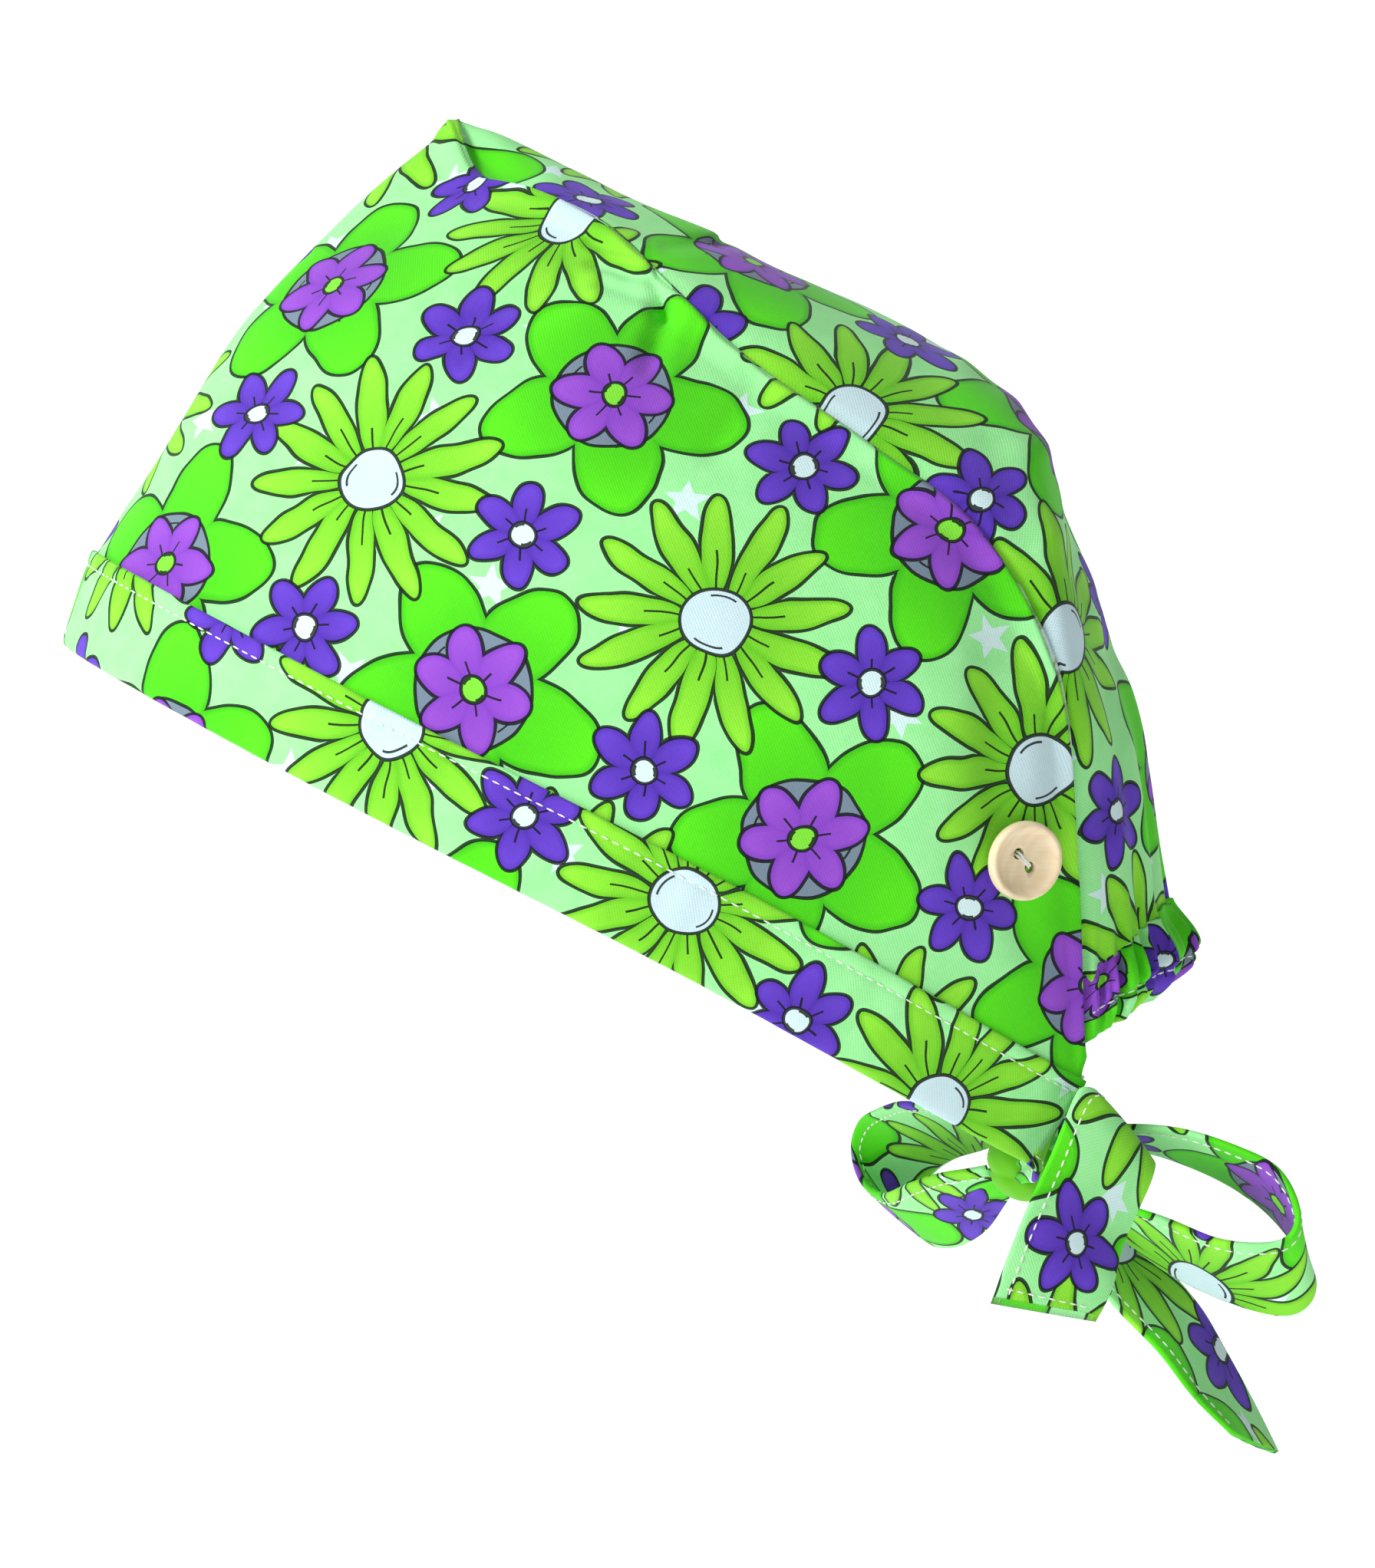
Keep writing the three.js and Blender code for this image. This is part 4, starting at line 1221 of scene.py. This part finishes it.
@dataclass
class CrownPanel:
    """The panel over the top and down the back, gathered towards the elastic."""

    shape: CapShape
    finishes: Finishes
    cloth: float = 0.0009
    rows: int = 190
    columns: int = 200
    pleat: float = 0.0011
    pleat_length: float = 0.022
    sunk_side: float = 0.0004
    sunk_end: float = 0.0008
    dents: tuple = ((0.03, 0.0010, 14.0), (0.012, 0.00026, 19.0))
    # How far it runs under the casing, as a share of its length, and under the wrap panel.
    tuck: float = 0.012
    lap: float = 0.035
    cut: Cut = Cut(174.0, 0.355, 0.24)

    def build(self) -> bpy.types.Object:
        """Makes the panel.

        Returns:
            The panel.
        """
        end = self.shape.crown_end + self.tuck
        side = np.pi / 2 + self.lap
        turned, down = np.meshgrid(np.linspace(-side, side, self.columns),
                                   np.linspace(0, end, self.rows))
        points = self.shape.crown(down, turned, CROWN_CREASES)
        normals = surface_normals(points, self.shape.inside)
        to_side = np.minimum(from_edge(points, 1, False), from_edge(points, 1, True))
        to_casing = from_edge(points, 0, True)
        quiet = ease(to_side / 0.012)
        rise = quiet * crumple(points, self.dents)
        gathered = ease(to_side / 0.006) * ease(1 - to_casing / self.pleat_length)
        rise = rise + self.pleat * pleats(turned) * gathered
        rise = rise - self.sunk_side * ease(1 - to_side / 0.004)
        rise = rise - self.sunk_end * ease(1 - to_casing / 0.005)
        points = points + normals * rise[..., None]
        coarse = np.meshgrid(np.linspace(-side, side, 31), np.linspace(0, end, 29))
        flat = flatten(self.shape.crown(coarse[1], coarse[0]))
        shape = grid_shape(points, self.cut.place(finer(flat, self.rows, self.columns)))
        face_away(shape, self.shape.inside)
        bmesh.ops.remove_doubles(shape, verts=shape.verts, dist=1e-7)
        panel = finished("crown_cloth", shape, self.finishes.cloth)
        thicken(panel, self.cloth)
        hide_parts("crown_panel")
        return panel


@dataclass
class ElasticCasing:
    """The casing at the nape, gathered on its elastic."""

    shape: CapShape
    finishes: Finishes
    cloth: float = 0.001
    rows: int = 44
    columns: int = 300
    pleat: float = 0.0017
    flat_height: float = 0.03
    stitch_at: float = 0.62
    stitch_pitch: float = 0.0027
    cut: Cut = Cut(171.0, 0.36, 0.60)

    def points(self, angle: Array, v: Array) -> Array:
        """Points of the gathered casing."""
        smooth_sheet = self.shape.casing(angle, v)
        fine = np.cos(62 * angle + 2.0 * np.sin(5 * angle + 1))
        calm = ease(np.cos(angle) / 0.35)
        depth = 0.75 + 0.6 * np.sin(np.pi * v) - 0.5 * np.exp(-(((v - self.stitch_at) / 0.07) ** 2))
        folds = self.pleat * depth * (0.8 * pleats(angle) + 0.35 * fine * ease(v / 0.25))
        outward = triple(np.sin(angle), np.cos(angle), 0 * angle)
        dip = 0.0009 * np.exp(-(((v - self.stitch_at) / 0.06) ** 2))
        return smooth_sheet + outward * (calm * (folds - dip))[..., None]

    def build(self) -> bpy.types.Object:
        """Makes the casing and its stitches.

        Returns:
            The casing.
        """
        angle = np.linspace(-np.pi / 2, np.pi / 2, self.columns)
        turned, low = np.meshgrid(angle, np.linspace(0, 1, self.rows))
        points = self.points(turned, low)
        drop = np.linspace(0, self.flat_height, self.rows)
        flat = laid_flat(travelled(points[self.rows // 2]), -drop)
        shape = grid_shape(points, self.cut.place(flat))
        face_away(shape, self.shape.inside)
        casing = finished("casing_cloth", shape, self.finishes.cloth)
        thicken(casing, self.cloth)
        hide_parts("elastic_casing")
        self.stitch()
        return casing

    def stitch(self) -> None:
        """Makes the row of stitches that holds the elastic's channel."""
        angle = np.linspace(-1.5, 1.5, 900)
        path = self.points(angle, np.full_like(angle, self.stitch_at))
        out = triple(np.sin(angle), np.cos(angle), 0 * angle)
        shape = bmesh.new()
        stitch_row(shape, path + out * 0.0002, out, self.stitch_pitch)
        finished("casing_stitching", shape, [self.finishes.thread])


@dataclass
class StrapRoute:
    """The middle line, width direction and width of a strap at equal steps."""

    middle: Array
    wide: Array
    width: Array

    @property
    def ahead(self) -> Array:
        """The direction along the strap."""
        return unit(np.gradient(self.middle, axis=0))

    @property
    def out(self) -> Array:
        """The direction out of the strap's face."""
        return unit(np.cross(self.wide, self.ahead))


@dataclass
class Strap:
    """A strap of folded cotton, topstitched near its open edge."""

    node: str
    route: StrapRoute
    finishes: Finishes
    cut: Cut
    open_edge: int = 1
    full_width: float = 0.026
    thickness: float = 0.0015
    ripple: float = 0.0013
    cupping: float = 0.0005
    stitch_in: float = 0.0024
    stitch_pitch: float = 0.0026
    stitch_steps: int = 600
    hemmed_end: bool = False
    hem_depth: float = 0.0025
    hem_edge: float = 0.00035
    back_longer: float = 0.0018
    hangs_from: str = "knot_cloth"
    to_knot: bool = False

    def section(self) -> Array:
        """The strap's section: shares of its half width, heights, and rounding outwards."""
        half = self.thickness / 2
        flat = np.linspace(-1, 1, 15)
        bend = np.radians((60, 30, 0, -30, -60))
        top = [(share, half, 0.0) for share in flat]
        right = [(1.0, half * math.sin(a), half * math.cos(a)) for a in bend]
        below = [(share, -half, 0.0) for share in flat[::-1]]
        left = [(-1.0, -half * math.sin(a), -half * math.cos(a)) for a in bend]
        return np.array([*top, *right, *below, *left, top[0]])

    def surface(self, share: Array, height: Array, round_out: Array) -> Array:
        """Points on the strap for each step of its route and each point of its section."""
        route = self.route
        half = route.width[None, :] / 2 - self.thickness / 2
        across = share[:, None] * half + round_out[:, None]
        narrow = np.clip(1 - route.width / self.full_width, 0, 1)[None, :]
        ripple = self.ripple * narrow * np.cos(3.5 * np.pi * share[:, None] + 0.6)
        cup = self.cupping * share[:, None] ** 2 * (1 - narrow)
        middle = route.middle[None] + route.wide[None] * across[..., None]
        return middle + route.out[None] * (height[:, None] + ripple + cup)[..., None]

    def build(self) -> bpy.types.Object:
        """Makes the strap and its stitches.

        Returns:
            The strap.
        """
        share, height, round_out = self.section().T
        points = self.surface(share, height, round_out)
        if self.hemmed_end:
            points[height > 0, -1] += self.route.ahead[-1] * self.back_longer
        along = travelled(self.route.middle)
        across = share * self.full_width / 2 + round_out
        around = travelled(np.stack([across, height], axis=-1))
        shape = grid_shape(points, self.cut.place(laid_flat(along, around)))
        ends = close_ends(shape, 1e-6)
        print_map = shape.loops.layers.uv["Cloth"]
        for face in ends:
            for loop in face.loops:
                other = next(o for o in loop.vert.link_loops if o.face not in ends)
                loop[print_map].uv = other[print_map].uv
        if self.hemmed_end:
            self.open_hem(shape, ends)
        bmesh.ops.recalc_face_normals(shape, faces=shape.faces)
        strap = finished(f"{self.node}_strap", shape, self.finishes.cloth)
        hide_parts(self.node)
        self.stitch()
        return strap

    def open_hem(self, shape: bmesh.types.BMesh, ends: list) -> None:
        """Opens the strap's last end a little, as a turned-in hem."""
        last = Vector(self.route.middle[-1])
        end = min(ends, key=lambda face: (face.calc_center_median() - last).length)
        ahead = Vector(self.route.ahead[-1])
        bmesh.ops.inset_region(shape, faces=[end], thickness=self.hem_edge, use_even_offset=True)
        bmesh.ops.translate(shape, verts=list(end.verts), vec=-ahead * self.hem_depth)

    def stitch(self) -> bpy.types.Object:
        """Makes the topstitching on both faces, and across a hemmed end.

        Returns:
            The stitches.
        """
        shape = bmesh.new()
        outward = self.route.out
        steps = np.arange(len(outward))
        # Only the steps outside the knot show: a tie ends in it, and the others start there.
        fine = np.linspace(0, steps[-1], self.stitch_steps)
        fine = fine[:-190] if self.to_knot else fine[40:]
        share = self.open_edge * (1 - 2 * self.stitch_in / self.full_width)
        for face in (1, -1):
            height = face * (self.thickness / 2 + 0.0001)
            line = self.surface(np.array([share]), np.array([height]), np.zeros(1))[0]
            stitch_row(shape, read_along(fine, steps, line),
                       face * read_along(fine, steps, outward), self.stitch_pitch)
            if self.hemmed_end:
                over = np.linspace(-0.93, 0.93, 60)
                cross = self.surface(over, np.full_like(over, height), 0 * over)[:, -4]
                stitch_row(shape, cross, np.repeat(face * outward[-4:-3], 60, axis=0),
                           self.stitch_pitch)
        return finished(f"{self.node}_strap_stitching", shape, [self.finishes.thread])


@dataclass
class Bow:
    """The ties from the cuff's ends, the knot, its two loops and two tails."""

    shape: CapShape
    finishes: Finishes
    tie_width: float = 0.026
    knot_width: float = 0.018
    knot_height: float = 0.020
    knot_place: tuple[float, float, float] = (0.012, 0.108, -0.061)
    loop_length: float = 0.060
    hemmed_tail_length: float = 0.060
    pointed_tail_length: float = 0.092
    steps: int = 110
    # Where on the printed cloth the knot is cut from, and how large a piece.
    knot_cut: tuple[float, float] = (0.112, 0.285)
    knot_cloth: tuple[float, float] = (0.056, 0.03)

    def route(self, table: dict, length: float) -> StrapRoute:
        """Reads a strap's route from its table.

        Args:
            table: the strap's table.
            length: the length that its shares are of.

        Returns:
            The route.
        """
        t = np.linspace(0, 1, self.steps)
        lean = np.radians(smooth(table, "lean", t))
        swing = np.radians(smooth(table, "swing", t))
        wide = triple(np.cos(lean) * np.cos(swing), np.cos(lean) * np.sin(swing), np.sin(lean))
        middle = triple(*(length * smooth(table, axis, t) for axis in "xyz"))
        width = self.tie_width * smooth(table, "width", t)
        return StrapRoute(middle + np.array(self.knot_place), wide, width)

    def tie_route(self, side: Side) -> StrapRoute:
        """The route of a tie from the cuff's end to the knot."""
        way = side.value
        ends = np.array([way * (1 - 1 / 28), float(way)])
        before, top = self.shape.cuff_seam(ends)
        along = self.shape.cuff_axes(ends)[0][1]
        bottom = top + along * self.shape.cuff_width
        onward = unit(top - before)
        start = (top + bottom) / 2 - onward * 0.001
        knot = np.array(self.knot_place)
        seat = knot + self.tie_width * np.array([0.208 * way, -0.097 * way, 0])
        approach = seat + self.tie_width * np.array([0.6 * way, 0.08, 0.15])
        leaving = start + onward * 0.12 * self.tie_width
        t = np.linspace(0, 1, self.steps)[:, None]
        middle = (start * (1 - t) ** 3 + 3 * leaving * t * (1 - t) ** 2
                  + 3 * approach * t**2 * (1 - t) + seat * t**3)
        wide = unit(unit(bottom - top) * (1 - t) + np.array([0, 0, -1]) * t)
        narrowing = ease((t[:, 0] - 0.3) / 0.7)
        width = self.shape.cuff_width * (1 - narrowing) + 0.45 * self.tie_width * narrowing
        return StrapRoute(middle, wide, width)

    def build(self) -> list[bpy.types.Object]:
        """Makes every strap and the knot.

        Returns:
            The straps and the knot.
        """
        tie = {"full_width": self.shape.cuff_width, "to_knot": True}
        straps = (
            ("tie_left", self.tie_route(Side.LEFT), Cut(20.0, 0.21, 0.05), tie),
            ("tie_right", self.tie_route(Side.RIGHT), Cut(12.0, 0.31, 0.15), tie),
            ("bow_loop_left", self.route(LOOP_LEFT, self.loop_length),
             Cut(4.0, 0.105, 0.035), {}),
            ("bow_loop_right", self.route(LOOP_RIGHT, self.loop_length),
             Cut(-9.0, 0.41, 0.13), {}),
            ("tail_hemmed", self.route(TAIL_HEMMED, self.hemmed_tail_length),
             Cut(3.0, 0.102, 0.077), {"hemmed_end": True, "open_edge": -1}),
            ("tail_pointed", self.route(TAIL_POINTED, self.pointed_tail_length),
             Cut(7.0, 0.26, 0.19), {}),
        )
        pieces = [Strap(node, route, self.finishes, cut, **settings).build()
                  for node, route, cut, settings in straps]
        return [*pieces, self.knot()]

    def knot(self) -> bpy.types.Object:
        """Makes the knot: turns of the strap wound round its middle."""
        shape = bmesh.new()
        bmesh.ops.create_uvsphere(shape, u_segments=72, v_segments=48, radius=1, calc_uvs=True)
        print_map = shape.loops.layers.uv.verify()
        print_map_name = shape.loops.layers.uv.active.name
        for face in shape.faces:
            for loop in face.loops:
                loop[print_map].uv = [start + share * size for start, share, size in
                                      zip(self.knot_cut, loop[print_map].uv, self.knot_cloth)]
        for vertex in shape.verts:
            x, y, z = vertex.co
            turn = 1.5 * math.pi * z + 0.45 * x + 0.25 * y
            relief = 0.12 * (abs(math.cos(turn)) ** 0.6 - 0.55)
            fold = 0.012 * math.sin(9 * math.atan2(y, x) + 7 * z)
            across = self.knot_width / 2 * (1 + relief + fold)
            reach = Vector((x * across, y * across, z * self.knot_height / 2))
            vertex.co = Vector(self.knot_place) + reach
        knot = finished("knot_cloth", shape, self.finishes.cloth)
        knot.data.uv_layers[print_map_name].name = "Cloth"
        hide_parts("knot")
        return knot


@dataclass
class MaskButton:
    """A wooden button at one side, raised at its rim, dished, and sewn on with white thread."""

    shape: CapShape
    finishes: Finishes
    side: Side
    diameter: float = 0.018
    thickness: float = 0.004
    hole: float = 0.0026
    hole_spacing: float = 0.0044
    dish: float = 0.53
    clearance: float = 0.0004
    thread: float = 0.0009
    # Each strand's place beside the others and its slant, as shares of the thread.
    strands: tuple = ((-0.55, 0.25), (0.1, -0.3), (0.6, 0.1))
    # Where it is sewn on, as shares of the wrap panel, and how its holes are turned.
    along: float = 0.85
    up: float = 0.58
    turn: float = math.radians(-40)
    # The section from the back's middle to the dish's. out: share of the radius.
    # high: share of the thickness.
    section: dict = field(default_factory=lambda: {
        "out": (0, 0.74, 0.86, 0.95, 0.99, 1.0, 1.0, 0.985, 0.95, 0.9, 0.85, 0.8, 0.74, 0.66, 0.5,
                0.3, 0),
        "high": (0, 0.02, 0.08, 0.22, 0.36, 0.5, 0.7, 0.86, 0.96, 1.0, 0.97, 0.88, 0.77, 0.67,
                 0.57, 0.52, 0.50),
    })

    def seat(self) -> Matrix:
        """Where the button stands on the wrap panel, made along +Y."""
        way, step = self.side.value, 0.02

        def point(along: float, up: float) -> Vector:
            """A point on the panel."""
            return Vector(self.shape.wrap(np.array([way * along]), np.array([up]))[0])

        at = point(self.along, self.up)
        ahead = point(self.along + step, self.up) - at
        above = point(self.along, self.up + step) - at
        outward = ahead.cross(above).normalized()
        if outward.x * way < 0:
            outward.negate()
        near = [point(self.along + i * step, self.up + j * step) - at
                for i in range(-5, 6) for j in range(-5, 6)]
        proud = max(gap.dot(outward) for gap in near if gap.length < 0.6 * self.diameter)
        tilt = Vector((0, 1, 0)).rotation_difference(outward)
        turned = Matrix.Rotation(way * self.turn, 4, "Y")
        lifted = at + outward * (proud + self.clearance)
        return Matrix.Translation(lifted) @ tilt.to_matrix().to_4x4() @ turned

    def build(self) -> list[bpy.types.Object]:
        """Makes the button and its thread.

        Returns:
            The button and the thread.
        """
        shape = bmesh.new()
        radius = self.diameter / 2
        rim = [shape.verts.new((out * radius, high * self.thickness, 0))
               for out, high in zip(self.section["out"], self.section["high"])]
        edges = [shape.edges.new(pair) for pair in zip(rim, rim[1:])]
        bmesh.ops.spin(shape, geom=[*rim, *edges], axis=(0, 1, 0), cent=(0, 0, 0),
                       angle=2 * math.pi, steps=72, use_merge=True)
        bmesh.ops.remove_doubles(shape, verts=shape.verts, dist=1e-6)
        bmesh.ops.recalc_face_normals(shape, faces=shape.faces)
        drills = bmesh.new()
        for way in (-1, 1):
            place = (Matrix.Translation((way * self.hole_spacing / 2, self.thickness / 2, 0))
                     @ Matrix.Rotation(math.pi / 2, 4, "X"))
            bmesh.ops.create_cone(drills, cap_ends=True, segments=28, radius1=self.hole / 2,
                                  radius2=self.hole / 2, depth=3 * self.thickness, matrix=place)
        bored = self.bore(shape, drills)
        seat = self.seat()
        bmesh.ops.transform(bored, matrix=seat, verts=bored.verts)
        name = f"button_{self.side.label}_wood"
        button = finished(name, bored, [self.finishes.wood])
        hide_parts(f"button_{self.side.label}")
        return [button, self.sew(seat)]

    @staticmethod
    def bore(disc: bmesh.types.BMesh, drills: bmesh.types.BMesh) -> bmesh.types.BMesh:
        """Takes the drills' shapes out of the disc.

        Args:
            disc: the button without holes, which is used up.
            drills: the shapes to take out, which are used up.

        Returns:
            The button with its holes.
        """
        blank = add_object("blank", smooth_mesh("disc", disc))
        cutter = add_object("cutter", smooth_mesh("drills", drills))
        boring = blank.modifiers.new("Holes", "BOOLEAN")
        boring.operation = "DIFFERENCE"
        boring.object = cutter
        boring.solver = "EXACT"
        graph = bpy.context.evaluated_depsgraph_get()
        made = bmesh.new()
        made.from_object(blank, graph)
        for thing in (blank, cutter):
            bpy.data.objects.remove(thing)
        return made

    def sew(self, seat: Matrix) -> bpy.types.Object:
        """Makes the strands of thread from hole to hole."""
        shape = bmesh.new()
        half, dish = self.hole_spacing / 2, self.dish * self.thickness
        turn = np.linspace(0, np.pi, 22)
        for offset, lean in self.strands:
            x = -np.cos(turn) * half * 1.04
            rise = np.sin(turn) ** 0.5 * 0.0011 * (1 - 0.1 * abs(offset))
            y = dish - 0.0012 + rise + 0.0002 * np.sin(turn)
            y = np.where((turn < 0.05) | (turn > np.pi - 0.05), dish - 0.0022, y)
            z = offset * self.thread * 0.62 + lean * self.thread * np.cos(turn)
            path = triple(x, y, z)
            ahead = unit(np.gradient(path, axis=0))
            side = unit(np.cross(ahead, np.array([0.0, 1.0, 0.0])))
            over = np.cross(side, ahead)
            around = np.linspace(0, 2 * np.pi, 11)[:, None, None]
            ring = np.cos(around) * side[None] + np.sin(around) * over[None]
            tube = path[None] + ring * self.thread / 2 * 0.62
            strand = grid_shape(tube, np.zeros((*tube.shape[:2], 2)))
            close_ends(strand, 1e-7)
            bmesh.ops.recalc_face_normals(strand, faces=strand.faces)
            held = smooth_mesh("strand", strand)
            shape.from_mesh(held)
            bpy.data.meshes.remove(held)
        bmesh.ops.transform(shape, matrix=seat, verts=shape.verts)
        name = f"button_{self.side.label}_sewing"
        sewing = finished(name, shape, [self.finishes.thread])
        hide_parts(f"button_thread_{self.side.label}")
        return sewing


@dataclass
class Studio:
    """The pale floor, the lights and the camera."""

    floor_drop: float = -0.32
    camera_place: tuple[float, float, float] = (1.1, 0.0284, 0.0269)
    focal_pixels: float = 6050.0
    picture_width: float = 1792.0
    surround: float = 0.22
    aim: tuple[float, float, float] = (0.0, 0.02, 0.03)

    def build(self) -> None:
        """Sets up the studio."""
        self.camera()
        self.floor()
        self.light("key", (1.2, -1.5, 1.1), 0.6, 40.0)
        self.light("fill", (1.9, -0.2, -0.2), 1.4, 3.0)
        self.light("top", (0.4, -1.0, 1.6), 0.8, 6.0)
        world = bpy.data.worlds.new("studio")
        world.use_nodes = True
        tree = world.node_tree
        sky = tree.nodes["Background"].inputs
        sky["Color"].default_value = (1.0, 1.0, 1.0, 1.0)
        seen = call(tree, "ShaderNodeLightPath", {})["Is Camera Ray"]
        feed(tree, sky["Strength"], seen * (1 - self.surround) + self.surround)
        bpy.context.scene.world = world
        bpy.context.scene.view_settings.view_transform = "Standard"

    def camera(self) -> None:
        """Places the camera where the photograph was taken from."""
        data = bpy.data.cameras.new("camera")
        data.sensor_fit = "HORIZONTAL"
        data.sensor_width = 36.0
        data.lens = self.focal_pixels / self.picture_width * data.sensor_width
        data.clip_start = 0.05
        camera = add_object("camera", data)
        camera.location = self.camera_place
        camera.rotation_euler = (math.radians(90), 0, math.radians(90))
        bpy.context.scene.camera = camera

    def floor(self) -> None:
        """Makes a pale floor that curves up behind the cap."""
        bend = np.linspace(0, np.pi / 2, 24)
        flat_x = np.linspace(4.0, -1.6, 12)
        x = np.concatenate([flat_x, -1.6 - 0.9 * np.sin(bend[1:]), [-2.5, -2.5]])
        z = np.concatenate([0 * flat_x, 0.9 * (1 - np.cos(bend[1:])), [2.0, 3.5]])
        wide = np.linspace(-5, 5, 11)
        points = triple(x[None, :], wide[:, None], z[None, :] + self.floor_drop)
        shape = grid_shape(points, np.zeros((*points.shape[:2], 2)))
        bmesh.ops.recalc_face_normals(shape, faces=shape.faces)
        floor = add_object("floor", smooth_mesh("floor", shape))
        material, _, sockets = new_material("floor")
        sockets["Base Color"].default_value = (0.93, 0.93, 0.93, 1.0)
        sockets["Roughness"].default_value = 0.9
        sockets["Emission Color"].default_value = (1.0, 1.0, 1.0, 1.0)
        sockets["Emission Strength"].default_value = 0.5
        floor.data.materials.append(material)

    def light(self, name: str, place: tuple, size: float, power: float) -> None:
        """Adds a soft light that faces the cap.

        Args:
            name: its name.
            place: where it stands.
            size: its width.
            power: its power in watts.
        """
        data = bpy.data.lights.new(name, "AREA")
        data.shape = "SQUARE"
        data.size = size
        data.energy = power
        lamp = add_object(name, data)
        lamp.location = place
        towards = Vector(self.aim) - Vector(place)
        lamp.rotation_euler = towards.to_track_quat("-Z", "Y").to_euler()


def main() -> None:
    """Builds the cap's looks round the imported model."""
    logging.basicConfig(level=logging.INFO, format="%(message)s")
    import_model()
    Studio().build()
    PrintGroups.build()
    finishes = Finishes(
        Cotton("printed_cotton", 0.0).build(),
        Cotton("printed_cotton_wrong_side", 0.55).build(),
        Wood().build(),
        Thread().build(),
    )
    shape = CapShape()
    band = Cuff(shape, finishes).build()
    wrap = WrapPanel(shape, finishes).build()
    crown = CrownPanel(shape, finishes).build()
    casing = ElasticCasing(shape, finishes).build()
    for side in Side:
        MaskButton(shape, finishes, side).build()
    straps = Bow(shape, finishes).build()
    for strap in straps:
        LOG.info("made %s", strap.name)


if __name__ == "__main__":
    main()
